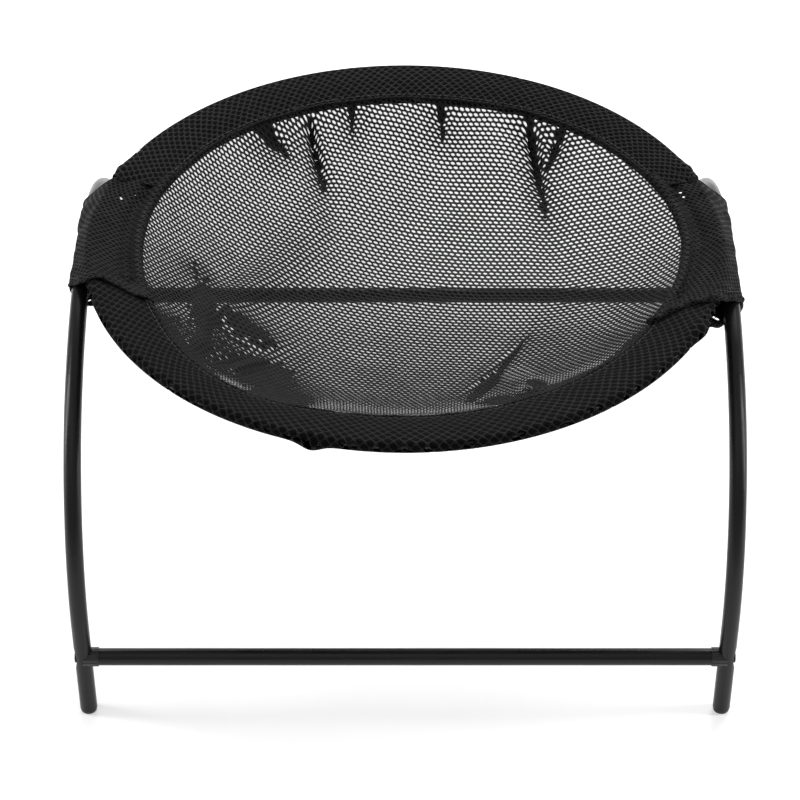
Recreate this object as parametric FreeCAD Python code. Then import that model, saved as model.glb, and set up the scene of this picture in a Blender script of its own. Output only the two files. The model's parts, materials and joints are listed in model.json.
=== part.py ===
"""Raised hammock bed for a small dog or cat: two bent side arches, two crossbars and a mesh hammock.

All sizes are in millimetres. +X runs across the bed along the crossbars, +Y from front to rear and
+Z up. The origin is on the floor under the middle of the bed.
"""
import FreeCAD, Part
import math
import os

Vector = FreeCAD.Vector

# ---- driving sizes ---------------------------------------------------------------------------
leg_spacing = 480.0          # between the centres of the two arches, at the crossbars
arch_depth = 446.2           # between the centres of an arch's two feet, on the floor
arch_height = 263.4          # of the arch's centre line at the crown
crown_radius = 294.9         # centre-line radius of the gentle bend over the crown
shoulder_radius = 172.1      # centre-line radius of the tighter bends either side of it
leg_lean = 1.0               # degrees each leg leans towards the middle of its arch
arch_splay = 0.9             # degrees the arches lean apart above the crossbars
bar_height = 54.3            # of the crossbars' centre line

tube_diameter = 13.0         # arches and crossbars are cut from the same round tube
tube_wall = 1.2

foot_cap_height = 3.2        # how far a foot cap stands out of its tube
foot_cap_inset = 0.4         # how much smaller its rim is than the tube
foot_cap_stem = 14.0
foot_cap_round = 1.6

dent_depth = 2.2             # pressed recess on the leg's outer side, where the bolt head sits
dent_length = 22.0
bolt_diameter = 5.0
bolt_length = 30.0
bolt_head_diameter = 8.8
bolt_head_height = 2.0
bolt_hex_socket = 3.0        # across flats
bolt_hex_depth = 1.3
bolt_head_round = 0.8

plug_collar_length = 5.0
plug_collar_rise = 0.75      # how far the collar stands proud of the crossbar
plug_stem_length = 24.0
insert_diameter = 7.4        # threaded insert moulded into the plug
insert_length = 11.0
insert_setback = 2.0         # from the crossbar's end to the insert

hoop_diameter = 5.0
ferrule_length = 34.0
ferrule_wall = 0.9
shoulder_angle = 61.0        # where the hoop's roll rests on the crown: degrees above the horizontal

fabric_thickness = 1.5       # one layer of the rim and sleeve mesh
basin_thickness = 2.0
rim_width = 37.9             # from the hoop's centre to the inner seam
rim_drop = 5.0               # how far the inner seam lies below the hoop
basin_floor_radius = 406.0   # the middle of the basin is part of a large sphere
basin_floor_angle = 15.7     # degrees of slope where floor and wall meet
basin_wall_radius = 218.8    # section radius of the steeper wall
sleeve_front = 46.0          # from the crown to the sleeve's front hem
sleeve_rear = 82.0           # and to its rear hem
tape_width = 6.0
tape_thickness = 1.0

# ---- clearances ------------------------------------------------------------------------------
press_clearance = 0.1        # plugs, stems and inserts in their bores
thread_clearance = 0.05
bolt_hole_clearance = 0.3
hoop_clearance = 0.2         # hoop in its ferrules and in the rim
seat_clearance = 0.4         # roll of the rim on the crown
sew_clearance = 0.3          # between fabric pieces that are sewn together
sleeve_ease = 0.6            # between a sleeve and what it wraps
tunnel_gap = 4.0             # between a sleeve's hem and the end of the rim beside it

# ---- dependent sizes -------------------------------------------------------------------------
tube_radius = tube_diameter / 2
bore_radius = tube_radius - tube_wall
bolt_radius = bolt_diameter / 2
hoop_radius = hoop_diameter / 2
ferrule_radius = hoop_radius + hoop_clearance + ferrule_wall
roll_radius = hoop_radius + hoop_clearance + fabric_thickness
half_depth = arch_depth / 2
lean = math.radians(leg_lean)
splay = math.radians(arch_splay)

# The leg's straight length L closes the chain straight + shoulder + crown at the wanted depth and
# height: (p - L sin lean)^2 + (q + L cos lean)^2 = (crown radius - shoulder radius)^2.
chain_p = half_depth - shoulder_radius * math.cos(lean)
chain_q = crown_radius - shoulder_radius * math.sin(lean) - arch_height
chain_b = chain_q * math.cos(lean) - chain_p * math.sin(lean)
chain_c = chain_p**2 + chain_q**2 - (crown_radius - shoulder_radius) ** 2
leg_straight = -chain_b + math.sqrt(chain_b**2 - chain_c)
crown_cosine = (chain_p - leg_straight * math.sin(lean)) / (crown_radius - shoulder_radius)
crown_start = math.acos(crown_cosine)    # slope from the vertical where shoulder meets crown

crown_x = leg_spacing / 2 + (arch_height - bar_height) * math.sin(splay)
crown_z = bar_height + (arch_height - bar_height) * math.cos(splay)
hoop_seat = tube_radius + roll_radius + seat_clearance
ring_radius = crown_x - hoop_seat * math.cos(math.radians(shoulder_angle))
ring_z = crown_z + hoop_seat * math.sin(math.radians(shoulder_angle))
seam_radius = ring_radius - rim_width
seam_z = ring_z - rim_drop

UP = Vector(0, 0, 1)
ALONG_BAR = Vector(1, 0, 0)
ALONG_DEPTH = Vector(0, 1, 0)
CENTRE = Vector(0, 0, 0)
LARGE = 2000.0               # bigger than the bed, for trimming


def leg_offset(z):
    """Distance of an arch's centre line from its mid-plane, at height z on the leg or shoulder."""
    straight_top = leg_straight * math.cos(lean)
    if z <= straight_top:
        return half_depth - z * math.tan(lean)
    slope = math.asin((z - straight_top) / shoulder_radius + math.sin(lean))
    foot_side = half_depth - leg_straight * math.sin(lean)
    return foot_side - shoulder_radius * (math.cos(lean) - math.cos(slope))


bar_y = leg_offset(bar_height)


def line(start, end):
    """Straight edge between two points."""
    return Part.LineSegment(start, end).toShape()


def arc(start, middle, end):
    """Circular edge through three points."""
    return Part.Arc(start, middle, end).toShape()


def cylinder(radius, start, end):
    """Solid cylinder whose axis runs from start to end."""
    axis = end - start
    return Part.makeCylinder(radius, axis.Length, start, axis)


def mirrored_x(shape):
    """The same piece on the other side of the bed."""
    return shape.mirror(CENTRE, ALONG_BAR)


def mirrored_y(shape):
    """The same piece at the other end of the bed."""
    return shape.mirror(CENTRE, ALONG_DEPTH)


def above(shape, height):
    """What lies above a level plane."""
    box = Part.makeBox(LARGE, LARGE, LARGE, Vector(-LARGE / 2, -LARGE / 2, height))
    return shape.common(box)


def splayed(shape):
    """Move a piece from the arch's own plane X = 0 to the right-hand side of the bed."""
    turned = shape.copy()
    turned.rotate(Vector(0, 0, bar_height), ALONG_DEPTH, arch_splay)
    turned.translate(Vector(leg_spacing / 2, 0, 0))
    return turned


# ---- arches ----------------------------------------------------------------------------------
def arch_path():
    """Centre line of an arch in the plane X = 0: leg, shoulder, crown, shoulder, leg."""
    half = []
    foot = Vector(0, -half_depth, 0)
    knee = foot + Vector(0, math.sin(lean), math.cos(lean)) * leg_straight
    half.append(line(foot, knee))
    shoulder_centre = knee + Vector(0, math.cos(lean), -math.sin(lean)) * shoulder_radius

    def on_shoulder(slope):
        return shoulder_centre + Vector(0, -math.cos(slope), math.sin(slope)) * shoulder_radius

    crown_side = on_shoulder(crown_start)
    half.append(arc(knee, on_shoulder((lean + crown_start) / 2), crown_side))
    crown = arc(crown_side, Vector(0, 0, arch_height), Vector(0, -crown_side.y, crown_side.z))
    rear = [mirrored_y(edge) for edge in reversed(half)]
    return Part.Wire(Part.__sortEdges__(half + [crown] + rear))


def pipe(path, radius):
    """Solid round bar along a path that starts at the front foot."""
    start = Vector(0, -half_depth, 0)
    direction = Vector(0, math.sin(lean), math.cos(lean))
    ring = Part.Wire(Part.makeCircle(radius, start, direction))
    return path.makePipeShell([ring], True, False)


def dent_cutter(growth):
    """Round punch mark with a flat seat for the bolt head, on the right front leg."""
    punch_radius = ((dent_length / 2) ** 2 + dent_depth**2) / (2 * dent_depth)
    seat_x = leg_spacing / 2 + tube_radius - dent_depth
    ball = Part.makeSphere(punch_radius + growth, Vector(seat_x + punch_radius, -bar_y, bar_height))
    seat_start = Vector(seat_x - growth, -bar_y, bar_height)
    seat_radius = bolt_head_diameter / 2 + bolt_hole_clearance + growth
    return ball.fuse(cylinder(seat_radius, seat_start, seat_start + ALONG_BAR * tube_radius))


def make_right_arch():
    """Hollow arch with its two pressed recesses and bolt holes, cut level at the feet."""
    path = arch_path()
    outside = splayed(pipe(path, tube_radius))
    inside = splayed(pipe(path, bore_radius))
    hole_start = Vector(leg_spacing / 2 - tube_diameter, -bar_y, bar_height)
    hole_end = Vector(leg_spacing / 2 + tube_diameter, -bar_y, bar_height)
    hole = cylinder(bolt_radius + bolt_hole_clearance, hole_start, hole_end)
    for turn in (lambda shape: shape, mirrored_y):
        outside = outside.cut(turn(dent_cutter(0.0)))
        inside = inside.cut(turn(dent_cutter(tube_wall)))
    tube = outside.cut(inside)
    for turn in (lambda shape: shape, mirrored_y):
        tube = tube.cut(turn(hole))
    return above(tube, foot_cap_height)


# ---- foot caps -------------------------------------------------------------------------------
def make_foot_cap():
    """Push-in cap of the right front foot: rounded pad, plain stem and two gripping ribs."""
    foot = Vector(0, -half_depth, 0)
    along = Vector(0, math.sin(lean), math.cos(lean))
    pad_radius = tube_radius - foot_cap_inset
    pad = splayed(cylinder(pad_radius, foot - along * tube_diameter, foot + along * tube_diameter))
    pad = above(pad, 0.0).cut(above(pad, foot_cap_height))
    sole = [edge for edge in pad.Edges if edge.BoundBox.ZMax < foot_cap_height / 4]
    pad = pad.makeFillet(foot_cap_round, sole)
    stem_end = foot + along * (foot_cap_height + foot_cap_stem)
    stem = cylinder(bore_radius - 4 * press_clearance, foot, stem_end)
    for step in (1, 2):
        rib = foot + along * (foot_cap_height + step * foot_cap_stem / 3)
        stem = stem.fuse(cylinder(bore_radius - press_clearance, rib, rib + along * 1.5))
    return pad.fuse(above(splayed(stem), foot_cap_height / 2)).removeSplitter()


# ---- crossbars and what holds them -----------------------------------------------------------
bar_end_x = leg_spacing / 2 - tube_radius - plug_collar_length


def bar_point(x):
    """Point on the front crossbar's axis."""
    return Vector(x, -bar_y, bar_height)


def make_front_crossbar():
    """Plain round tube between the two end plugs' collars."""
    outside = cylinder(tube_radius, bar_point(-bar_end_x), bar_point(bar_end_x))
    inside = cylinder(bore_radius, bar_point(-bar_end_x), bar_point(bar_end_x))
    return outside.cut(inside)


def make_bar_plug():
    """End plug of the front bar's right end: a ribbed collar saddled to the leg, and a stem."""
    collar_radius = tube_radius + plug_collar_rise
    collar_end = bar_point(leg_spacing / 2)
    collar = cylinder(collar_radius, bar_point(bar_end_x), collar_end)
    grooves = 12
    for number in range(grooves):
        turn = 2 * math.pi * number / grooves
        side = Vector(0, math.cos(turn), math.sin(turn)) * (collar_radius + plug_collar_rise / 2)
        collar = collar.cut(cylinder(plug_collar_rise, bar_point(bar_end_x) + side, collar_end + side))
    foot = Vector(0, -half_depth, 0)
    along = Vector(0, math.sin(lean), math.cos(lean))
    leg = splayed(cylinder(tube_radius + press_clearance, foot, foot + along * leg_straight))
    stem_end = bar_point(bar_end_x - plug_stem_length)
    plug = collar.cut(leg).fuse(cylinder(bore_radius - press_clearance, stem_end, bar_point(bar_end_x)))
    insert_start = bar_point(bar_end_x - insert_setback)
    insert_end = bar_point(bar_end_x - insert_setback - insert_length)
    plug = plug.cut(cylinder(insert_diameter / 2, insert_end, insert_start))
    return plug.cut(cylinder(bolt_radius + bolt_hole_clearance, stem_end, collar_end))


def make_bar_insert():
    """Threaded insert in that plug."""
    start = bar_point(bar_end_x - insert_setback)
    end = bar_point(bar_end_x - insert_setback - insert_length)
    body = cylinder(insert_diameter / 2 - press_clearance, end, start)
    return body.cut(cylinder(bolt_radius, end, start))


def make_bolt():
    """Low round-headed bolt from the recess through the leg into the insert."""
    seat = bar_point(leg_spacing / 2 + tube_radius - dent_depth)
    head = cylinder(bolt_head_diameter / 2, seat, seat + ALONG_BAR * bolt_head_height)
    rim = [edge for edge in head.Edges if edge.BoundBox.XMin > seat.x + bolt_head_height / 2]
    head = head.makeFillet(bolt_head_round, rim)
    socket_radius = bolt_hex_socket / math.sqrt(3)
    socket_x = seat.x + bolt_head_height - bolt_hex_depth
    corners = []
    for number in range(7):
        turn = math.radians(60 * number)
        side = Vector(0, math.cos(turn), math.sin(turn)) * socket_radius
        corners.append(bar_point(socket_x) + side)
    socket = Part.Face(Part.makePolygon(corners)).extrude(ALONG_BAR * bolt_head_height)
    shank_end = seat - ALONG_BAR * bolt_length
    shank = cylinder(bolt_radius - thread_clearance, shank_end, seat)
    tip = [edge for edge in shank.Edges if edge.BoundBox.XMax < shank_end.x + bolt_radius]
    shank = shank.makeChamfer(bolt_radius / 5, tip)
    return head.fuse(shank).cut(socket)


# ---- hoop ------------------------------------------------------------------------------------
def ring_sweep(profile, start_degrees, end_degrees):
    """Turn a face drawn at azimuth 0 about the bed's vertical axis between two azimuths."""
    placed = profile.copy()
    placed.rotate(CENTRE, UP, start_degrees)
    return placed.revolve(CENTRE, UP, end_degrees - start_degrees)


def round_section(radius):
    """Disc across the hoop at azimuth 0."""
    return Part.Face(Part.Wire(Part.makeCircle(radius, Vector(ring_radius, 0, ring_z), ALONG_DEPTH)))


def make_rear_hoop():
    """Rear half of the round rod that holds the rim open."""
    joint = math.degrees(hoop_clearance / ring_radius)
    return ring_sweep(round_section(hoop_radius), joint, 180 - joint)


def make_right_ferrule():
    """Short curved sleeve that joins the two hoop halves beside the crown."""
    half_angle = math.degrees(ferrule_length / 2 / ring_radius)
    bore = ring_sweep(round_section(hoop_radius + hoop_clearance / 2), -2 * half_angle, 2 * half_angle)
    return ring_sweep(round_section(ferrule_radius), -half_angle, half_angle).cut(bore)


# ---- mesh hammock ----------------------------------------------------------------------------
def rear_part(section, hem):
    """Half a ring swept from a section, cut off level with the sleeves' hems but for the gap."""
    cut_y = hem + tunnel_gap
    box = Part.makeBox(LARGE, LARGE, LARGE, Vector(-LARGE / 2, cut_y, -LARGE / 2))
    return ring_sweep(section, 0, 180).common(box)


def rim_section():
    """Folded rim at azimuth 0: a roll round the hoop that tapers to two flat layers at the seam."""
    hoop = Vector(ring_radius, 0, ring_z)
    edges = []
    tangents = []
    for side in (1, -1):
        edge = Vector(seam_radius, 0, seam_z + side * fabric_thickness)
        reach = edge - hoop
        lift = math.asin(roll_radius / reach.Length)
        toward = math.atan2(reach.z, reach.x)
        normal_turn = toward - side * (math.pi / 2 - lift)
        normal = Vector(math.cos(normal_turn), 0, math.sin(normal_turn))
        tangent = hoop + normal * roll_radius
        tangents.append((edge, tangent))
    (top_edge, top_tangent), (low_edge, low_tangent) = tangents
    outermost = hoop + Vector(roll_radius, 0, 0)
    edges.append(line(top_edge, top_tangent))
    edges.append(arc(top_tangent, outermost, low_tangent))
    edges.append(line(low_tangent, low_edge))
    edges.append(line(low_edge, top_edge))
    return Part.Face(Part.Wire(edges)).cut(round_section(hoop_radius + hoop_clearance))


def tape_section():
    """Flat binding tape under the seam at azimuth 0."""
    top = seam_z - fabric_thickness - sew_clearance
    corner = Vector(seam_radius + sew_clearance, 0, top - tape_thickness)
    return Part.makePlane(tape_width, tape_thickness, corner, Vector(0, -1, 0), ALONG_BAR)


def make_basin():
    """Shallow bowl of one mesh layer: a wide flat floor that turns up into a steeper wall."""
    floor_slope = math.radians(basin_floor_angle)
    edge_radius = seam_radius - sew_clearance
    hub = (basin_floor_radius - basin_wall_radius) * math.sin(floor_slope)
    edge_slope = math.asin((edge_radius - hub) / basin_wall_radius)
    floor_rise = basin_floor_radius * (1 - math.cos(floor_slope))
    wall_rise = basin_wall_radius * (math.cos(floor_slope) - math.cos(edge_slope))
    floor_z = seam_z + fabric_thickness - floor_rise - wall_rise
    floor_centre = Vector(0, 0, floor_z + basin_floor_radius)
    wall_centre = floor_centre + Vector(hub, 0, -hub / math.tan(floor_slope))

    def on_arc(centre, radius, slope):
        return centre + Vector(math.sin(slope), 0, -math.cos(slope)) * radius

    skins = []
    for growth in (0.0, basin_thickness):
        floor_r = basin_floor_radius + growth
        wall_r = basin_wall_radius + growth
        last = math.asin((edge_radius - wall_centre.x) / wall_r)
        skins.append([
            on_arc(floor_centre, floor_r, 0.0),
            on_arc(floor_centre, floor_r, floor_slope / 2),
            on_arc(floor_centre, floor_r, floor_slope),
            on_arc(wall_centre, wall_r, (floor_slope + last) / 2),
            on_arc(wall_centre, wall_r, last),
        ])
    upper, lower = skins
    edges = [
        arc(*upper[0:3]),
        arc(*upper[2:5]),
        line(upper[4], lower[4]),
        arc(*reversed(lower[2:5])),
        arc(*reversed(lower[0:3])),
        line(lower[0], upper[0]),
    ]
    return Part.Face(Part.Wire(edges)).revolve(CENTRE, UP, 360)


def belt(circles, y):
    """Closed loop in the plane at depth y, pulled tight round circles listed anticlockwise."""
    normals = []
    for number, (centre, radius) in enumerate(circles):
        next_centre, next_radius = circles[(number + 1) % len(circles)]
        gap = next_centre - centre
        ahead = gap * (1 / gap.Length)
        cosine = (radius - next_radius) / gap.Length
        outward = Vector(ahead.z, 0, -ahead.x)
        normals.append(ahead * cosine + outward * math.sqrt(1 - cosine**2))
    shift = Vector(0, y, 0)
    edges = []
    for number, (centre, radius) in enumerate(circles):
        before = normals[number - 1]
        after = normals[number]
        middle = before + after
        middle.normalize()
        next_centre, next_radius = circles[(number + 1) % len(circles)]
        touch = [centre + normal * radius + shift for normal in (before, middle, after)]
        edges.append(arc(*touch))
        edges.append(line(touch[2], next_centre + after * next_radius + shift))
    return Part.Wire(edges)


def sleeve_loft(growth, overrun):
    """Solid inside a sleeve's skin: it wraps the seam, the crown and the hoop along the crown."""
    stations = 5
    end_radius = fabric_thickness + sew_clearance
    end_ring = seam_radius + sew_clearance + fabric_thickness + end_radius
    wires = []
    for number in range(stations):
        share = number / (stations - 1)
        y = -sleeve_front - overrun + share * (sleeve_front + sleeve_rear + 2 * overrun)
        drop = crown_radius - math.sqrt(crown_radius**2 - y**2)
        seam_end = Vector(math.sqrt(end_ring**2 - y**2), 0, seam_z)
        tube = Vector(crown_x - drop * math.sin(splay), 0, crown_z - drop * math.cos(splay))
        hoop = Vector(math.sqrt(ring_radius**2 - y**2), 0, ring_z)
        circles = [
            (seam_end, end_radius + growth),
            (tube, tube_radius + sleeve_ease + growth),
            (hoop, ferrule_radius + sleeve_ease + growth),
        ]
        wires.append(belt(circles, y))
    return Part.makeLoft(wires, True, False)


def make_right_sleeve():
    """Mesh sleeve sewn to the seam, wrapped over the hoop and round the arch's crown."""
    return sleeve_loft(fabric_thickness, 0.0).cut(sleeve_loft(0.0, 1.0))


# ---- all pieces ------------------------------------------------------------------------------
def all_pieces():
    """Every piece of the bed by name."""
    pieces = {}
    right_arch = make_right_arch()
    pieces["right_arch"] = right_arch
    pieces["left_arch"] = mirrored_x(right_arch)
    front_crossbar = make_front_crossbar()
    pieces["front_crossbar"] = front_crossbar
    pieces["rear_crossbar"] = mirrored_y(front_crossbar)
    corner_pieces = {
        "foot_cap": make_foot_cap(),
        "bar_plug": make_bar_plug(),
        "bar_insert": make_bar_insert(),
        "bolt": make_bolt(),
    }
    for name, shape in corner_pieces.items():
        pieces["front_right_" + name] = shape
        pieces["front_left_" + name] = mirrored_x(shape)
        pieces["rear_right_" + name] = mirrored_y(shape)
        pieces["rear_left_" + name] = mirrored_x(mirrored_y(shape))
    rear_hoop = make_rear_hoop()
    pieces["rear_hoop"] = rear_hoop
    pieces["front_hoop"] = mirrored_y(rear_hoop)
    right_ferrule = make_right_ferrule()
    pieces["right_hoop_ferrule"] = right_ferrule
    pieces["left_hoop_ferrule"] = mirrored_x(right_ferrule)
    pieces["mesh_basin"] = make_basin()
    for name, section in (("rim", rim_section()), ("seam_tape", tape_section())):
        pieces["rear_" + name] = rear_part(section, sleeve_rear)
        pieces["front_" + name] = mirrored_y(rear_part(section, sleeve_front))
    right_sleeve = make_right_sleeve()
    pieces["right_sleeve"] = right_sleeve
    pieces["left_sleeve"] = mirrored_x(right_sleeve)
    return pieces


def main():
    """Write one STEP file for each piece."""
    os.makedirs("parts", exist_ok=True)
    for name, shape in all_pieces().items():
        solids = shape.Solids
        if len(solids) != 1 or not shape.isValid():
            raise RuntimeError(f"{name}: {len(solids)} solids, valid {shape.isValid()}")
        solids[0].exportStep(f"parts/{name}.step")


main()
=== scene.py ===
"""Looks of a raised hammock bed: its tube frame gets finishes, and its mesh hammock is made as cloth.

All lengths are in metres. +X runs across the bed along the crossbars, +Y from front to rear, +Z up.
"""

import json
import logging
import math
from dataclasses import dataclass, field
from enum import Enum
from typing import Sequence

import bpy
import numpy as np
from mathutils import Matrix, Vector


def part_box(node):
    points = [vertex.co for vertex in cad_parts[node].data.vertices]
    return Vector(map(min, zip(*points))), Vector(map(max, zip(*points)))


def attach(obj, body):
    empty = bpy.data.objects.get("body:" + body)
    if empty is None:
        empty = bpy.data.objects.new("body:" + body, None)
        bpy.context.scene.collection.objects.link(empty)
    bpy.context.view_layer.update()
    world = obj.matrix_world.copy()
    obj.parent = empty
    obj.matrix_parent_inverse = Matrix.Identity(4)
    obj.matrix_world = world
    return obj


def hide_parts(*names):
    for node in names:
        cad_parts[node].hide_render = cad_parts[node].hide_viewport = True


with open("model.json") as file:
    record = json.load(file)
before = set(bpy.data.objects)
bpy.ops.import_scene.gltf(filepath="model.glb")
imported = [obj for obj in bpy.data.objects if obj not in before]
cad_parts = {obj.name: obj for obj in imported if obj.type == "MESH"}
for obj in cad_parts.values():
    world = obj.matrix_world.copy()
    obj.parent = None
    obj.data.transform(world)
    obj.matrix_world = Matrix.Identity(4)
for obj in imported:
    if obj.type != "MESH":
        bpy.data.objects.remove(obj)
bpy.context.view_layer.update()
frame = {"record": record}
MM = 0.001
TURN = 2 * math.pi

Array = np.ndarray
Socket = bpy.types.NodeSocket
Value = float | Socket
log = logging.getLogger("hammock_bed")


# ---- numbers ---------------------------------------------------------------------------------
def smooth(x: Array) -> Array:
    """Ease from 0 to 1 as x goes from 0 to 1, flat at both ends: 3x^2 - 2x^3."""
    x = np.clip(x, 0.0, 1.0)
    return x * x * (3 - 2 * x)


def bell(x: Array) -> Array:
    """Bell curve exp(-x^2)."""
    return np.exp(-np.square(x))


def ripple(x: Array, wavelength: float, seed: float) -> Array:
    """Uneven wave of about the given wavelength: three sines whose lengths share no common factor.

    Args:
        x: distance along the wave, in metres.
        wavelength: the main wave's length, in metres.
        seed: shifts the phases, so that two waves of one length differ.

    Returns:
        Values from about -1 to 1.
    """
    k = TURN / wavelength
    first = np.sin(k * x + seed)
    second = np.sin(0.618 * k * x + 2.3 * seed + 1.1)
    third = np.sin(1.732 * k * x + 0.7 * seed + 2.9)
    return 0.5 * first + 0.3 * second + 0.2 * third


def unit(vectors: Array) -> Array:
    """Vectors scaled to length 1."""
    return vectors / np.maximum(np.linalg.norm(vectors, axis=-1, keepdims=True), 1e-12)


def lengths_along(path: Array) -> Array:
    """Length from the first point of a path, or of each path in a stack, to every point of it."""
    steps = np.linalg.norm(np.diff(path, axis=-2), axis=-1)
    return np.concatenate((np.zeros(steps.shape[:-1] + (1,)), np.cumsum(steps, axis=-1)), axis=-1)


def on_ring(radius: Array, azimuth: Array, z: Array) -> Array:
    """Points at a radius, an azimuth and a height."""
    return np.stack((radius * np.cos(azimuth), radius * np.sin(azimuth), z), axis=-1)


def box_of(node: str) -> tuple[Array, Array]:
    """Lowest and highest corner of a CAD node."""
    low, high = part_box(node)
    return np.array(low), np.array(high)


# ---- meshes ----------------------------------------------------------------------------------
def grid_quads(rows: int, columns: int, closed: bool = False) -> Array:
    """Quads of a grid of points, row after row.

    Args:
        rows: number of rows of points.
        columns: number of points in each row.
        closed: whether each row's last point joins its first.

    Returns:
        Point numbers, four to a quad.
    """
    width = columns if closed else columns - 1
    row, column = np.meshgrid(np.arange(rows - 1), np.arange(width), indexing="ij")
    after = (column + 1) % columns
    corners = (row * columns + column, row * columns + after,
               (row + 1) * columns + after, (row + 1) * columns + column)
    return np.stack(corners, axis=-1).reshape(-1, 4)


def mixed_faces(quads: Array, triangles: Array) -> Array:
    """Quads and triangles together, as one array of tuples.

    Args:
        quads: point numbers, four to a face.
        triangles: point numbers, three to a face.

    Returns:
        One tuple for each face, quads first.
    """
    faces = [tuple(face) for face in quads.tolist() + triangles.tolist()]
    together = np.empty(len(faces), dtype=object)
    together[:] = faces
    return together


@dataclass
class Shape:
    """A surface as whole arrays: its points, faces, cloth coordinates and how far its holes are closed,
    which in mesh cloth also weighs the painted shade of the yarn.
    """

    points: Array
    faces: Array
    cloth: Array
    closure: Array

    def make(self, name: str) -> bpy.types.Object:
        """Put the arrays in a smooth mesh object at the origin.

        Args:
            name: the piece's name.

        Returns:
            The new object, with a UV map in metres of cloth and a "closure" attribute.
        """
        mesh = bpy.data.meshes.new(name)
        mesh.from_pydata(self.points.reshape(-1, 3), [], self.faces.tolist())
        corner_points = np.empty(len(mesh.loops), dtype=np.int32)
        mesh.loops.foreach_get("vertex_index", corner_points)
        layer = mesh.uv_layers.new(name="cloth")
        layer.data.foreach_set("uv", self.cloth.reshape(-1, 2)[corner_points].ravel())
        closure = mesh.attributes.new("closure", "FLOAT", "POINT")
        closure.data.foreach_set("value", self.closure.ravel().astype(np.float32))
        mesh.polygons.foreach_set("use_smooth", np.ones(len(mesh.polygons), dtype=bool))
        mesh.update()
        piece = bpy.data.objects.new(name, mesh)
        bpy.context.scene.collection.objects.link(piece)
        return piece


def sheet_of(points: Array, cloth: Array, closure: Array) -> Shape:
    """Surface from a grid of points: rows of points, each with its cloth coordinates and closure."""
    rows, columns = points.shape[:2]
    return Shape(points, grid_quads(rows, columns), cloth, closure)


def tube_along(path: Array, radius: Array, sides: int, reference: Sequence[float]) -> Shape:
    """Round tube along a path, closed at both ends or joined into a ring.

    Each ring of points lies across the path: centre + radius (cos t N + sin t B), where N and B are
    at right angles to the path's direction. Where the path is closed, its first point is its last.

    Args:
        path: points of the path, one to a row.
        radius: the tube's radius at each point of the path, for each of its sides.
        sides: number of points round the tube.
        reference: a direction that the path never follows.

    Returns:
        The tube, whose cloth coordinates are the length along the path and the length round it.
    """
    is_ring = bool(np.allclose(path[0], path[-1]))
    ahead = np.gradient(path, axis=0)
    if is_ring:
        ahead[0] = ahead[-1] = path[1] - path[-2]
    ahead = unit(ahead)
    across = unit(np.cross(ahead, reference))
    upward = np.cross(across, ahead)
    turn = np.linspace(0, TURN, sides, endpoint=False)
    around = np.cos(turn)[None, :, None] * across[:, None] + np.sin(turn)[None, :, None] * upward[:, None]
    points = path[:, None] + around * radius[:, :, None]
    length = lengths_along(path)
    cloth = np.stack(np.broadcast_arrays(length[:, None], turn[None, :] * radius.mean()), axis=-1)
    rows = len(path)
    faces = grid_quads(rows, sides, closed=True)
    if is_ring:
        keep = rows - 1
        faces = faces % (keep * sides)
        points, cloth = points[:keep], cloth[:keep]
        return Shape(points, faces, cloth, np.ones(points.shape[:2]))
    ends = np.stack((path[0], path[-1]))
    end_cloth = np.stack((cloth[0, 0], cloth[-1, 0]))
    ring = np.arange(sides)
    after = (ring + 1) % sides
    last = (rows - 1) * sides
    hub = np.full(sides, rows * sides)
    first_cap = np.stack((after, ring, hub), axis=-1)
    last_cap = np.stack((last + ring, last + after, hub + 1), axis=-1)
    faces = mixed_faces(faces, np.concatenate((first_cap, last_cap)))
    points = np.concatenate((points.reshape(-1, 3), ends))
    cloth = np.concatenate((cloth.reshape(-1, 2), end_cloth))
    return Shape(points, faces, cloth, np.ones(len(points)))


def belt(centres: Array, radii: Sequence[float], count: int) -> Array:
    """Loop pulled tight round circles: the convex outline, from its inner end over the top and back.

    In the direction n, the outline's furthest point is c + r n of the circle whose c . n + r is
    largest. Those points are then spaced evenly along the outline.

    Args:
        centres: the circles' centres in the section plane, for each section and circle.
        radii: the circles' radii.
        count: number of points in each outline.

    Returns:
        Points (outward, up) for each section.
    """
    turn = np.linspace(math.pi, -math.pi, 1441)
    normal = np.stack((np.cos(turn), np.sin(turn)), axis=-1)
    reach = np.einsum("scd,td->stc", centres, normal) + np.asarray(radii)
    best = reach.argmax(axis=-1)
    rows = np.arange(len(centres))[:, None]
    outline = centres[rows, best] + np.asarray(radii)[best][..., None] * normal
    even = np.linspace(0, 1, count)
    loops = [np.stack([np.interp(even * length[-1], length, loop[:, axis]) for axis in (0, 1)], axis=-1)
             for length, loop in zip(lengths_along(outline), outline)]
    return np.array(loops)


def section_normals(loops: Array) -> Array:
    """Outward direction at each point of each section's outline."""
    along = np.gradient(loops, axis=1)
    return unit(np.stack((-along[..., 1], along[..., 0]), axis=-1))


def thicken(piece: bpy.types.Object, thickness: float) -> None:
    """Give a sheet its thickness, half to each side.

    Args:
        piece: the sheet.
        thickness: in metres.
    """
    wall = piece.modifiers.new("thickness", "SOLIDIFY")
    wall.thickness = thickness
    wall.offset = 0.0


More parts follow.
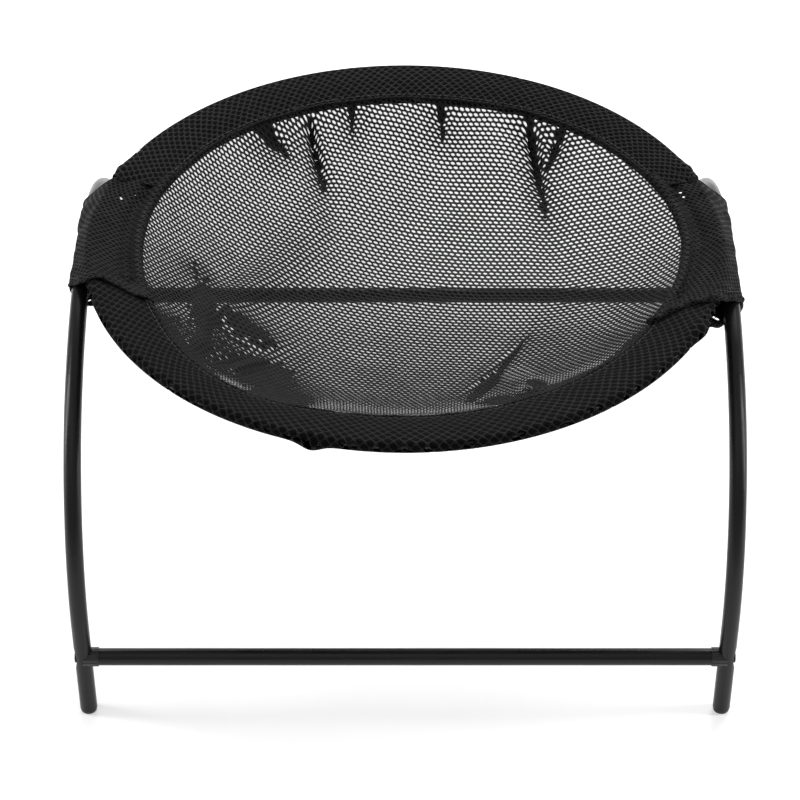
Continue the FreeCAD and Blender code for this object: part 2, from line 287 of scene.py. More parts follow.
# ---- shader nodes ----------------------------------------------------------------------------
class Nodes:
    """Places nodes in one node tree, left to right, and links them."""

    def __init__(self, tree: bpy.types.NodeTree) -> None:
        """Keep the tree that the nodes go into."""
        self.tree = tree

    def add(self, kind: str, inputs: dict[str | int, Value | Sequence[float]] | None = None,
            **settings: object) -> bpy.types.Node:
        """Add a node.

        Args:
            kind: the node's type name.
            inputs: values or sockets for its inputs.
            settings: the node's own properties.

        Returns:
            The node.
        """
        node = self.tree.nodes.new(kind)
        node.location = (200 * len(self.tree.nodes), 0)
        for name, value in settings.items():
            setattr(node, name, value)
        for name, value in (inputs or {}).items():
            self.put(node.inputs[name], value)
        return node

    def put(self, target: Socket, value: Value | Sequence[float]) -> None:
        """Link a socket to an input, or set the input's value."""
        if isinstance(value, Socket):
            self.tree.links.new(value, target)
        else:
            target.default_value = value

    def math(self, operation: str, *values: Value) -> Socket:
        """Result of a Math node."""
        return self.add("ShaderNodeMath", dict(enumerate(values)), operation=operation).outputs[0]

    def times(self, left: Value, right: Value) -> Socket:
        """Product of two values."""
        return self.math("MULTIPLY", left, right)

    def plus(self, left: Value, right: Value) -> Socket:
        """Sum of two values."""
        return self.math("ADD", left, right)

    def minus(self, left: Value, right: Value) -> Socket:
        """Difference of two values."""
        return self.math("SUBTRACT", left, right)

    def scale_add(self, value: Value, factor: Value, offset: Value) -> Socket:
        """Value times a factor plus an offset."""
        return self.math("MULTIPLY_ADD", value, factor, offset)

    def vector(self, operation: str, *values: Value | Sequence[float]) -> Socket:
        """Result of a Vector Math node."""
        node = self.add("ShaderNodeVectorMath", dict(enumerate(values)), operation=operation)
        return node.outputs["Vector"]

    def range(self, value: Socket, low: Value, high: Value, to_low: Value = 0.0, to_high: Value = 1.0,
              ) -> Socket:
        """Value eased from one range to another."""
        inputs = {"Value": value, "From Min": low, "From Max": high, "To Min": to_low, "To Max": to_high}
        return self.add("ShaderNodeMapRange", inputs, interpolation_type="SMOOTHSTEP").outputs["Result"]

    def noise(self, vector: Socket, scale: Value, detail: float = 2.0, color: bool = False) -> Socket:
        """Noise texture read at a vector."""
        node = self.add("ShaderNodeTexNoise", {"Vector": vector, "Scale": scale, "Detail": detail})
        return node.outputs["Color" if color else "Fac"]

    def mix(self, share: Value, low: Value | Sequence[float], high: Value | Sequence[float]) -> Socket:
        """Colour between two colours.

        Args:
            share: 0 for the first colour, 1 for the second.
            low: the first colour.
            high: the second colour.

        Returns:
            The mixed colour.
        """
        node = self.add("ShaderNodeMix", data_type="RGBA")
        for index, value in ((0, share), (6, low), (7, high)):
            self.put(node.inputs[index], value)
        return node.outputs[2]

    def bump(self, shader: bpy.types.Node, height: Socket, depth: float) -> None:
        """Give a shader relief of a depth in metres."""
        relief = self.add("ShaderNodeBump", {"Height": height, "Distance": depth})
        self.put(shader.inputs["Normal"], relief.outputs[0])


def grey(level: float, warmth: float = 0.0) -> tuple[float, float, float, float]:
    """Linear grey with a slight warm or cool cast."""
    return (level * (1 + warmth), level, level * (1 - warmth), 1.0)


class Effect:
    """A shader node group that several finishes share."""

    name = "effect"
    inputs: dict[str, float | None] = {}
    outputs: tuple[str, ...] = ()

    def group(self) -> bpy.types.NodeTree:
        """The node group, made the first time it is asked for.

        Returns:
            The group.
        """
        known = bpy.data.node_groups.get(self.name)
        if known:
            return known
        tree = bpy.data.node_groups.new(self.name, "ShaderNodeTree")
        for name, value in self.inputs.items():
            kind = "NodeSocketVector" if value is None else "NodeSocketFloat"
            socket = tree.interface.new_socket(name, in_out="INPUT", socket_type=kind)
            if value is not None:
                socket.default_value = value
        for name in self.outputs:
            tree.interface.new_socket(name, in_out="OUTPUT", socket_type="NodeSocketFloat")
        nodes = Nodes(tree)
        entry = nodes.add("NodeGroupInput")
        results = self.build(nodes, {name: entry.outputs[name] for name in self.inputs})
        nodes.add("NodeGroupOutput", results)
        return tree

    def build(self, nodes: Nodes, given: dict[str, Socket]) -> dict[str, Socket]:
        """Lay out the group's nodes. Each effect has its own."""
        raise NotImplementedError

    def place(self, nodes: Nodes, **values: Value) -> dict[str, Socket]:
        """Place the group in a material.

        Args:
            nodes: the material's nodes.
            values: the group's inputs, with underscores for spaces.

        Returns:
            The group's outputs by name.
        """
        node = nodes.add("ShaderNodeGroup", node_tree=self.group())
        for name, value in values.items():
            nodes.put(node.inputs[name.replace("_", " ")], value)
        return {name: node.outputs[name] for name in self.outputs}


class HexMesh(Effect):
    """Knitted mesh with staggered six-sided holes, laid on cloth coordinates in metres."""

    name = "hex_mesh"
    inputs = {"Cloth": None, "Pitch": 0.0046, "Row Pitch": 0.0039, "Bias": 0.22, "Hole": 0.7,
              "Closure": 0.0, "Unevenness": 0.1, "Slant": 0.3, "Softness": 0.08}
    outputs = ("Hole", "Through", "Height", "Tone")

    def lattice(self, nodes: Nodes, x: Socket, y: Socket, ratio: Socket, slant: Socket,
                shift: float) -> tuple[Socket, Socket]:
        """One of the two rectangular lattices of holes that make the staggered one.

        Args:
            nodes: where the nodes go.
            x: distance along the rows, in hole pitches.
            y: distance across the rows, in row pitches.
            ratio: row pitch over hole pitch.
            slant: how far the holes lean along the rows.
            shift: 0 for the even rows, 1 for the odd rows.

        Returns:
            Distance from the nearest hole's centre, 1 on the border between holes, and a random
            number for each hole.
        """
        across = nodes.plus(x, 0.5 * shift)
        up = nodes.plus(y, shift)
        from_x, from_y = nodes.math("WRAP", across, 0.5, -0.5), nodes.math("WRAP", up, 1.0, -1.0)
        near_x, near_y = nodes.math("ABSOLUTE", from_x), nodes.math("ABSOLUTE", from_y)
        squared = nodes.times(ratio, ratio)
        slanted = nodes.scale_add(nodes.times(near_y, 2.0), squared, near_x)
        slanted = nodes.math("DIVIDE", slanted, nodes.plus(squared, 0.25))
        six_sided = nodes.math("MAXIMUM", nodes.times(near_x, 2.0), slanted)
        depth = nodes.times(from_y, ratio)
        leaning = nodes.scale_add(depth, slant, from_x)
        squares = nodes.plus(nodes.times(leaning, leaning), nodes.times(nodes.times(depth, depth), 1.8))
        round_distance = nodes.times(nodes.math("SQRT", squares), 2.1)
        distance = nodes.plus(nodes.times(six_sided, 0.35), nodes.times(round_distance, 0.65))
        cell_x = nodes.math("FLOOR", nodes.plus(across, 0.5))
        cell_y = nodes.math("FLOOR", nodes.scale_add(up, 0.5, 0.5))
        cell = nodes.add("ShaderNodeCombineXYZ", {0: cell_x, 1: cell_y, 2: 7.0 * shift}).outputs[0]
        random = nodes.add("ShaderNodeTexWhiteNoise", {"Vector": cell}).outputs["Value"]
        return distance, random

    def build(self, nodes: Nodes, given: dict[str, Socket]) -> dict[str, Socket]:
        """Lay out the holes, the rounded yarn between them and the finer knit of the yarn.

        Args:
            nodes: the group's nodes.
            given: the group's inputs by name.

        Returns:
            The group's outputs by name.
        """
        cloth = given["Cloth"]
        wander = nodes.noise(cloth, 55.0, 1.0, color=True)
        wander = nodes.vector("SUBTRACT", wander, (0.5, 0.5, 0.5))
        reach = nodes.times(given["Unevenness"], 0.012)
        scaled = nodes.add("ShaderNodeVectorMath", {0: wander, "Scale": reach}, operation="SCALE")
        moved = nodes.vector("ADD", cloth, scaled.outputs[0])
        parts = nodes.add("ShaderNodeSeparateXYZ", {0: moved})
        slanted_y = nodes.scale_add(parts.outputs[0], given["Bias"], parts.outputs[1])
        x = nodes.math("DIVIDE", parts.outputs[0], given["Pitch"])
        y = nodes.math("DIVIDE", slanted_y, given["Row Pitch"])
        ratio = nodes.math("DIVIDE", given["Row Pitch"], given["Pitch"])
        even, even_random = self.lattice(nodes, x, y, ratio, given["Slant"], 0.0)
        odd, odd_random = self.lattice(nodes, x, y, ratio, given["Slant"], 1.0)
        distance = nodes.math("MINIMUM", even, odd)
        is_odd = nodes.math("LESS_THAN", odd, even)
        random = nodes.plus(nodes.times(odd_random, is_odd),
                            nodes.times(even_random, nodes.minus(1.0, is_odd)))
        spread = nodes.times(given["Unevenness"], 0.5)
        size = nodes.scale_add(nodes.minus(random, 0.5), spread, given["Hole"])
        inner = nodes.times(size, nodes.scale_add(given["Closure"], -0.36, 1.0))
        softness = given["Softness"]
        outside = nodes.range(distance, nodes.minus(inner, softness), nodes.plus(inner, softness))
        hole = nodes.minus(1.0, outside)
        covered = nodes.scale_add(given["Closure"], 2.0, -0.92)
        is_open = nodes.math("GREATER_THAN", random, covered)
        through = nodes.times(hole, is_open)
        yarn = nodes.range(distance, inner, nodes.plus(inner, 0.26))
        knit = nodes.noise(nodes.vector("MULTIPLY", cloth, (1.0, 2.5, 1.0)), 1500.0, 1.0)
        height = nodes.scale_add(nodes.minus(knit, 0.5), 0.35, yarn)
        patches = nodes.noise(cloth, 38.0, 2.0)
        tone = nodes.scale_add(patches, 0.7, nodes.times(random, 0.3))
        return {"Hole": hole, "Through": through, "Height": height, "Tone": tone}


class Handling(Effect):
    """Fine grain of a surface, its uneven tone, and where handling has rubbed or dusted it."""

    name = "handling"
    inputs = {"Place": None, "Grain Scale": 900.0, "Rub Scale": 26.0, "Rub": 0.5}
    outputs = ("Grain", "Tone", "Rubbed")

    def build(self, nodes: Nodes, given: dict[str, Socket]) -> dict[str, Socket]:
        """Lay out grain at two scales, slow tone, and thin streaks of rubbing.

        Args:
            nodes: the group's nodes.
            given: the group's inputs by name.

        Returns:
            The group's outputs by name.
        """
        fine = nodes.noise(given["Place"], given["Grain Scale"], 2.0)
        coarse = nodes.noise(given["Place"], nodes.times(given["Grain Scale"], 0.22), 1.0)
        grain = nodes.scale_add(coarse, 0.8, nodes.times(fine, 0.4))
        tone = nodes.noise(given["Place"], given["Rub Scale"], 3.0)
        streaks = nodes.noise(nodes.vector("MULTIPLY", given["Place"], (1.0, 1.0, 6.0)),
                              nodes.times(given["Rub Scale"], 9.0), 4.0)
        both = nodes.times(nodes.range(streaks, 0.56, 0.75), nodes.range(tone, 0.45, 0.7))
        return {"Grain": grain, "Tone": tone, "Rubbed": nodes.times(both, given["Rub"])}


class Weave(Effect):
    """Plain weave of flat yarns, over and under, on cloth coordinates in metres."""

    name = "plain_weave"
    inputs = {"Cloth": None, "Yarn": 0.0007}
    outputs = ("Height", "Tone")

    def build(self, nodes: Nodes, given: dict[str, Socket]) -> dict[str, Socket]:
        """Lay out a checkerboard of yarns: height is the product of two sines, with a slub noise.

        Args:
            nodes: the group's nodes.
            given: the group's inputs by name.

        Returns:
            The group's outputs by name.
        """
        parts = nodes.add("ShaderNodeSeparateXYZ", {0: given["Cloth"]})
        turns = [nodes.math("DIVIDE", parts.outputs[axis], given["Yarn"]) for axis in (0, 1)]
        waves = [nodes.math("SINE", nodes.times(turn, math.pi)) for turn in turns]
        checks = nodes.times(*waves)
        tone = nodes.noise(given["Cloth"], 300.0, 2.0)
        return {"Height": nodes.scale_add(checks, 0.5, tone), "Tone": tone}


HEX_MESH = HexMesh()
HANDLING = Handling()
WEAVE = Weave()


# ---- finishes --------------------------------------------------------------------------------
class Finish:
    """A material made when it is first asked for."""

    name: str

    def material(self) -> bpy.types.Material:
        """The finished material.

        Returns:
            The material, made the first time it is asked for.
        """
        known = bpy.data.materials.get(self.name)
        if known:
            return known
        material = bpy.data.materials.new(self.name)
        material.use_nodes = True
        material.node_tree.nodes.clear()
        nodes = Nodes(material.node_tree)
        shader = nodes.add("ShaderNodeBsdfPrincipled")
        self.build(nodes, shader)
        nodes.add("ShaderNodeOutputMaterial", {"Surface": shader.outputs[0]})
        return material

    def build(self, nodes: Nodes, shader: bpy.types.Node) -> None:
        """Lay out what feeds the shader. Each finish has its own."""
        raise NotImplementedError

    def dress(self, piece: bpy.types.Object) -> None:
        """Put the material on a piece, in place of any other."""
        piece.data.materials.clear()
        piece.data.materials.append(self.material())

    def put_on(self, piece: bpy.types.Object, slot: str) -> bpy.types.Object:
        """Dress a piece of cloth or thread and fix it to the frame's body.

        Args:
            piece: the piece.
            slot: the CAD material slot that it stands for; not used.

        Returns:
            The piece.
        """
        self.dress(piece)
        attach(piece, "root")
        return piece

    def dress_node(self, name: str) -> None:
        """Put the material on a CAD node's object.

        Args:
            name: the CAD node's name.
        """
        piece = bpy.data.objects[name]
        for slot in piece.material_slots:
            slot.material = self.material()
        if not piece.material_slots:
            piece.data.materials.append(self.material())


@dataclass(frozen=True)
class Coating(Finish):
    """Smooth or moulded solid surface: powder coat, plastic or plated metal."""

    name: str
    color: tuple[float, float, float, float]
    rubbed: tuple[float, float, float, float]
    roughness: float
    roughness_spread: float = 0.08
    grain_scale: float = 900.0
    grain_depth: float = 0.00004
    rub: float = 0.5
    metallic: float = 0.0
    specular: float = 0.5

    def build(self, nodes: Nodes, shader: bpy.types.Node) -> None:
        """Grain as bump, and tone and rubbing in the colour and roughness.

        Args:
            nodes: the material's nodes.
            shader: the node that they feed.
        """
        place = nodes.add("ShaderNodeTexCoord").outputs["Object"]
        wear = HANDLING.place(nodes, Place=place, Grain_Scale=self.grain_scale, Rub=self.rub)
        darker = tuple(0.8 * part for part in self.color[:3]) + (1.0,)
        toned = nodes.mix(wear["Tone"], darker, self.color)
        nodes.put(shader.inputs["Base Color"], nodes.mix(wear["Rubbed"], toned, self.rubbed))
        low = self.roughness - self.roughness_spread
        high = self.roughness + self.roughness_spread
        nodes.put(shader.inputs["Roughness"], nodes.range(wear["Tone"], 0.25, 0.75, low, high))
        nodes.bump(shader, wear["Grain"], self.grain_depth)
        shader.inputs["Metallic"].default_value = self.metallic
        shader.inputs["Specular IOR Level"].default_value = self.specular


@dataclass(frozen=True)
class MeshCloth(Finish):
    """Black polyester mesh with six-sided holes that the "closure" attribute can cover and darken with
    painted shade.
    """

    name: str
    pitch: float = 0.0046
    row_pitch: float = 0.0039
    bias: float = 0.22
    hole: float = 0.7
    unevenness: float = 0.1
    slant: float = 0.0
    softness: float = 0.06
    clear: float = 1.0
    # How strongly the closure darkens the yarn towards the pit colour: painted shade.
    shade: float = 0.0
    yarn: float = 0.012
    # Painted shade: the dark colour of covered holes, standing for the shaded space behind them.
    pit: float = 0.001
    depth: float = 0.0007
    roughness: float = 0.62
    sheen: float = 0.01

    def build(self, nodes: Nodes, shader: bpy.types.Node) -> None:
        """Open holes through Alpha, covered holes painted as dark pits of shade, yarn darkened by painted
        shade where the closure is high, and rounded yarn as bump.

        Args:
            nodes: the material's nodes.
            shader: the node that they feed.
        """
        cloth = nodes.add("ShaderNodeUVMap", uv_map="cloth").outputs[0]
        closure = nodes.add("ShaderNodeAttribute", attribute_name="closure").outputs["Fac"]
        knit = HEX_MESH.place(nodes, Cloth=cloth, Pitch=self.pitch, Row_Pitch=self.row_pitch,
                              Bias=self.bias, Hole=self.hole, Closure=closure,
                              Unevenness=self.unevenness, Slant=self.slant, Softness=self.softness)
        yarn = nodes.mix(knit["Tone"], grey(0.7 * self.yarn, -0.03), grey(1.35 * self.yarn, 0.02))
        # Painted shade: the yarn darkens towards the pit colour by closure times shade, in folds, doubled
        # cloth and the sleeves' valley.
        yarn = nodes.mix(nodes.times(closure, self.shade), yarn, grey(self.pit))
        # Painted shade: holes that do not go through show the dark pit colour.
        nodes.put(shader.inputs["Base Color"], nodes.mix(knit["Hole"], yarn, grey(self.pit)))
        solid = nodes.scale_add(knit["Through"], -self.clear, 1.0)
        nodes.put(shader.inputs["Alpha"], solid)
        spread = nodes.range(knit["Tone"], 0.2, 0.8, self.roughness - 0.1, self.roughness + 0.1)
        rough = nodes.math("MAXIMUM", spread, knit["Hole"])
        nodes.put(shader.inputs["Roughness"], rough)
        nodes.bump(shader, knit["Height"], self.depth)
        shader.inputs["Specular IOR Level"].default_value = 0.1
        shader.inputs["Sheen Weight"].default_value = self.sheen
        shader.inputs["Sheen Roughness"].default_value = 0.45


@dataclass(frozen=True)
class Woven(Finish):
    """Woven tape or twisted thread."""

    name: str
    level: float
    yarn: float = 0.0007
    depth: float = 0.00015

    def build(self, nodes: Nodes, shader: bpy.types.Node) -> None:
        """Weave as bump, and as painted shade and light in the colour: darker in the weave's hollows and
        lighter on its crests, with a slow random tone.

        Args:
            nodes: the material's nodes.
            shader: the node that they feed.
        """
        cloth = nodes.add("ShaderNodeUVMap", uv_map="cloth").outputs[0]
        weave = WEAVE.place(nodes, Cloth=cloth, Yarn=self.yarn)
        # Painted shade and light: the colour follows the weave's height, darker in its hollows and lighter
        # on its crests.
        tone = nodes.mix(weave["Height"], grey(0.6 * self.level), grey(1.5 * self.level))
        nodes.put(shader.inputs["Base Color"], tone)
        nodes.put(shader.inputs["Roughness"], nodes.range(weave["Tone"], 0.2, 0.8, 0.6, 0.85))
        nodes.bump(shader, weave["Height"], self.depth)
        shader.inputs["Sheen Weight"].default_value = 0.3


@dataclass(frozen=True)
class StudioFloor(Finish):
    """Plain pale floor with a barely visible unevenness."""

    name: str = "studio_floor"
    level: float = 0.86
    unevenness: float = 0.01
    glow: float = 0.42

    def build(self, nodes: Nodes, shader: bpy.types.Node) -> None:
        """Slow noise in a pale colour.

        Args:
            nodes: the material's nodes.
            shader: the node that they feed.
        """
        place = nodes.add("ShaderNodeTexCoord").outputs["Object"]
        cloud = nodes.noise(place, 3.0, 2.0)
        color = nodes.mix(cloud, grey(self.level - self.unevenness), grey(self.level + self.unevenness))
        nodes.put(shader.inputs["Base Color"], color)
        nodes.put(shader.inputs["Emission Color"], color)
        shader.inputs["Emission Strength"].default_value = self.glow
        shader.inputs["Roughness"].default_value = 0.9
        shader.inputs["Specular IOR Level"].default_value = 0.1


POWDER_COAT = Coating("powder_coat", grey(0.0075), grey(0.03), 0.3, grain_scale=700.0,
                      grain_depth=0.00003, rub=0.35, specular=0.28)
MOULDED_PLASTIC = Coating("moulded_plastic", grey(0.012), grey(0.04), 0.32, grain_scale=1800.0,
                          grain_depth=0.00005, rub=0.6, specular=0.45)
THREADED_BRASS = Coating("threaded_brass", (0.72, 0.52, 0.22, 1.0), (0.85, 0.7, 0.4, 1.0), 0.32,
                         grain_scale=2400.0, metallic=1.0)
BLACK_OXIDE = Coating("black_oxide", grey(0.03), grey(0.2), 0.34, grain_scale=1500.0, rub=0.8, metallic=1.0)
COATED_ROD = Coating("coated_rod", grey(0.01), grey(0.08), 0.35, rub=0.5, specular=0.3)
BASIN_MESH = MeshCloth("basin_knit", hole=0.77, slant=0.5, softness=0.28, clear=0.78,
                       shade=0.45, yarn=0.014)
REAR_RIM_MESH = MeshCloth("rear_rim_knit", pitch=0.0072, row_pitch=0.0037, bias=0.1, hole=1.15,
                          unevenness=0.14, slant=0.2, softness=0.1)
# Painted shade: the front rim's yarn is darker than the rear rim's, the same cloth, for the light falling
# on it.
SHADED_FRONT_RIM_MESH = MeshCloth("front_rim_knit", pitch=0.0078, row_pitch=0.0037, bias=-0.12, hole=1.15,
                           unevenness=0.14, slant=-0.2, softness=0.1, yarn=0.0075)
SLEEVE_MESH = MeshCloth("sleeve_knit", yarn=0.013, shade=0.45, slant=0.3, pitch=0.0052,
                        row_pitch=0.0030, bias=0.2, hole=0.95, unevenness=0.14)
HEM_MESH = MeshCloth("hem_knit", pitch=0.0040, row_pitch=0.0022, bias=0.4, hole=0.85, unevenness=0.2)
SEAM_TAPE = Woven("woven_tape", 0.014)
SEWING_THREAD = Woven("sewing_thread", 0.008, yarn=0.0004, depth=0.0001)


# ---- sizes of the hammock --------------------------------------------------------------------
@dataclass(frozen=True)
class HammockSizes:
    """Places that the cloth pieces share, read from the frame."""

    hoop_radius: float
    ring_radius: float
    ring_z: float
    seam_radius: float
    seam_z: float
    floor_z: float
    tube_radius: float
    crown_x: float
    crown_z: float
    crown_bend: float = 0.2949
    cloth_thickness: float = 0.0015
    seam_pull: tuple[tuple[float, float], ...] = (
        (-180, 0), (-155, 0), (-142, 5), (-130, 8), (-118, 7), (-104, 1), (-60, 0), (-38, 3), (-22, 4),
        (-10, 8), (0, 12), (20, 12), (45, 11), (60, 9), (75, 5), (90, 4), (110, 4), (135, 5), (155, 3),
        (180, 0))

    def seam_at(self, azimuth: Array) -> Array:
        """Radius of the seam at an azimuth.

        The cloth is pulled outward unevenly. The pulls, in millimetres at azimuths in degrees, are
        joined by straight lines and smoothed over 19 degrees.

        Args:
            azimuth: in radians.

        Returns:
            Radii in metres.
        """
        degrees = np.degrees(np.arctan2(np.sin(azimuth), np.cos(azimuth)))
        places, pulls = np.array(self.seam_pull).T
        even = np.linspace(-180, 180, 361)
        pull = np.interp(even, places, pulls)
        kernel = np.hanning(19) / np.hanning(19).sum()
        eased = np.convolve(np.concatenate((pull[-10:-1], pull, pull[1:10])), kernel, mode="valid")
        return self.seam_radius + np.interp(degrees, even, eased) * MM

    @classmethod
    def from_frame(cls) -> "HammockSizes":
        """Read the hoop, seam, basin and crown from the CAD nodes' boxes.

        Returns:
            The shared sizes.
        """
        hoop_low, hoop_high = box_of("rear_hoop")
        hoop_radius = (hoop_high[2] - hoop_low[2]) / 2
        basin_low, basin_high = box_of("mesh_basin")
        bar_low, bar_high = box_of("front_crossbar")
        tube_radius = (bar_high[2] - bar_low[2]) / 2
        _, arch_high = box_of("right_arch")
        return cls(
            hoop_radius=hoop_radius,
            ring_radius=hoop_high[0] - hoop_radius,
            ring_z=(hoop_high[2] + hoop_low[2]) / 2,
            seam_radius=basin_high[0] + 0.3 * MM,
            seam_z=basin_high[2] - cls.cloth_thickness,
            floor_z=basin_low[2] + 1.0 * MM,
            tube_radius=tube_radius,
            crown_x=arch_high[0] - tube_radius,
            crown_z=arch_high[2] - tube_radius,
        )


def grid_normals(points: Array) -> Array:
    """Unit normal at each point of a grid: the cross product of its two directions."""
    return unit(np.cross(np.gradient(points, axis=0), np.gradient(points, axis=1)))


# ---- basin -----------------------------------------------------------------------------------
@dataclass(frozen=True)
class Fold:
    """A crease that runs into the basin from its seam, closes the holes where it is doubled, and paints
    shade in a wider band beside it.
    """

    start: tuple[float, float]
    end: tuple[float, float]
    width: float
    end_width: float
    rise: float
    cover: float
    pucker: float = 0.0
    # Closure of the band of painted shade beside the crease.
    shade: float = 0.4

    def place(self, x: Array, y: Array) -> tuple[Array, Array]:
        """Where points lie along the crease, from 0 to 1, and beside it.

        Args:
            x: places across the bed.
            y: places along its depth.

        Returns:
            Shares of the length along the crease, and distances to its left.
        """
        start = np.array(self.start) * MM
        ahead = np.array(self.end) * MM - start
        length = np.linalg.norm(ahead)
        ahead = ahead / length
        along = ((x - start[0]) * ahead[0] + (y - start[1]) * ahead[1]) / length
        across = (y - start[1]) * ahead[0] - (x - start[0]) * ahead[1]
        return along, across

    def height(self, x: Array, y: Array) -> Array:
        """Height of the crease above the plain basin.

        A bell across the crease with a smaller one of the other sign beside it, eased to nothing
        at its end, and a wide shallow pucker that runs on past the end.

        Args:
            x: places across the bed.
            y: places along its depth.

        Returns:
            Heights in metres.
        """
        along, across = self.place(x, y)
        share = np.clip(along, 0, 1)
        width = (self.width + (self.end_width - self.width) * share) * MM + 1.5 * MM
        crease = bell(across / width) - 0.4 * bell(across / width - 1.8)
        ending = smooth(1.25 * (1 - along)) * smooth((along + 0.25) * 4)
        pucker_width = 3.2 * self.width * MM + 7 * MM
        running_on = smooth(1 - along / 2.6) * smooth((along + 0.4) * 2.5)
        pucker = self.pucker * bell(across / pucker_width) * running_on
        return (self.rise * crease * ending + pucker) * MM

    def covered(self, x: Array, y: Array) -> Array:
        """How far the doubled cloth closes the holes: a wedge that narrows towards the end, within a wider
        band of painted shade beside the crease.

        Args:
            x: places across the bed.
            y: places along its depth.

        Returns:
            The closure at each point.
        """
        along, across = self.place(x, y)
        width = (self.width + (self.end_width - self.width) * np.clip(along, 0, 1)) * MM
        inside = smooth((width + 1.2 * MM - np.abs(across)) / (2.4 * MM))
        crease = self.cover * inside * smooth((1.06 - along) / 0.2) * smooth((along + 0.2) / 0.12)
        # Painted shade: a wide soft band beside the crease, closing holes and darkening the yarn.
        beside = bell(across / (2.2 * self.width * MM + 6 * MM))
        return np.maximum(crease, self.shade * beside * smooth(1.6 - along) * smooth((along + 0.5) * 2))


@dataclass(frozen=True)
class Doubled:
    """An oval patch where folded cloth lies behind and closes the holes, or a gap where it doesn't; the
    closure also darkens the basin's yarn as painted shade.
    """

    centre: tuple[float, float]
    reach: tuple[float, float]
    turn: float
    cover: float

    def covered(self, x: Array, y: Array) -> Array:
        """How far the holes are closed: full inside the oval, eased to nothing across its border.

        Args:
            x: places across the bed.
            y: places along its depth.

        Returns:
            The closure at each point.
        """
        angle = math.radians(self.turn)
        dx, dy = x - self.centre[0] * MM, y - self.centre[1] * MM
        along = (dx * math.cos(angle) + dy * math.sin(angle)) / (self.reach[0] * MM)
        across = (dy * math.cos(angle) - dx * math.sin(angle)) / (self.reach[1] * MM)
        return self.cover * smooth((1.8 - np.hypot(along, across)) / 1.3)


REAR_FOLDS = (
    Fold((-42, 199), (-41, 168), 4.2, 0.6, -2.5, 1.0, -2.0),
    Fold((29, 199), (30, 168), 4.2, 0.6, -2.5, 1.0, -2.0),
    Fold((-113, 166), (-87, 147), 8.5, 1.0, -4.0, 1.0, -2.5),
    Fold((-75, 178), (-62, 124), 1.4, 3.4, -6.0, 1.0, -5.0, 0.45),
    Fold((96, 173), (108, 90), 2.6, 2.4, -6.0, 1.0, -5.0, 0.45),
    Fold((120, 156), (106, 130), 4.0, 1.4, -3.0, 1.0, -2.0),
)
FRONT_FOLDS = (
    Fold((54, -112), (96, -30), 4.0, 1.2, -2.5, 0.9, -2.0, 0.3),
    Fold((97, -148), (92, -120), 3.0, 3.0, -4.0, 0.9, 0.0, 0.2),
    Fold((-118, -108), (-92, -62), 3.0, 3.0, 3.5, 0.0, 0.0, 0.0),
    Fold((-147, -92), (-158, -8), 9.0, 6.0, 3.0, 0.0, 3.0, 0.3),
    Fold((-106, -60), (-150, -18), 10.0, 8.0, 2.5, 0.0, 2.0, 0.3),
    Fold((-134, -30), (-74, 92), 10.0, 12.0, 2.5, 0.0, 4.0, 0.3),
    Fold((96, -160), (92, -104), 8.0, 6.0, 4.0, 0.0, 2.0, 0.0),
)
DOUBLED_CLOTH = (
    Doubled((102, 146), (22, 7), 80, 0.5),
    Doubled((-151, -42), (34, 9), -87, 1.05),
    Doubled((-148, -97), (34, 6), -88, 0.95),
    Doubled((-120, -49), (23, 8), -28, 0.9),
    Doubled((-105, -104), (21, 22), 43, 1.05),
    Doubled((-87, -145), (18, 20), -41, 0.85),
    Doubled((-157, 5), (16, 11), -53, 0.5),
    Doubled((-130, -88), (58, 40), -50, 0.56),
    Doubled((-136, -113), (22, 14), -56, 0.5),
    Doubled((122, -86), (53, 42), -16, 0.14),
    Doubled((61, -102), (33, 6), -113, 0.85),
    Doubled((75, -156), (22, 13), -32, 0.9),
    Doubled((96, -136), (16, 4), -70, 1.0),
    Doubled((121, -150), (22, 9), 23, 0.55),
    Doubled((0, -184), (60, 10), 0, 0.4),
)
OPEN_CLOTH = (
    Doubled((-174, -60), (12, 8), 45, 0.3),
    Doubled((-122, -146), (7, 11), 33, 0.6),
    Doubled((-133, -77), (8, 5), -54, 0.1),
    Doubled((83, -94), (18, 9), -53, 0.35),
    Doubled((57, -163), (12, 6), -48, 0.4),
)


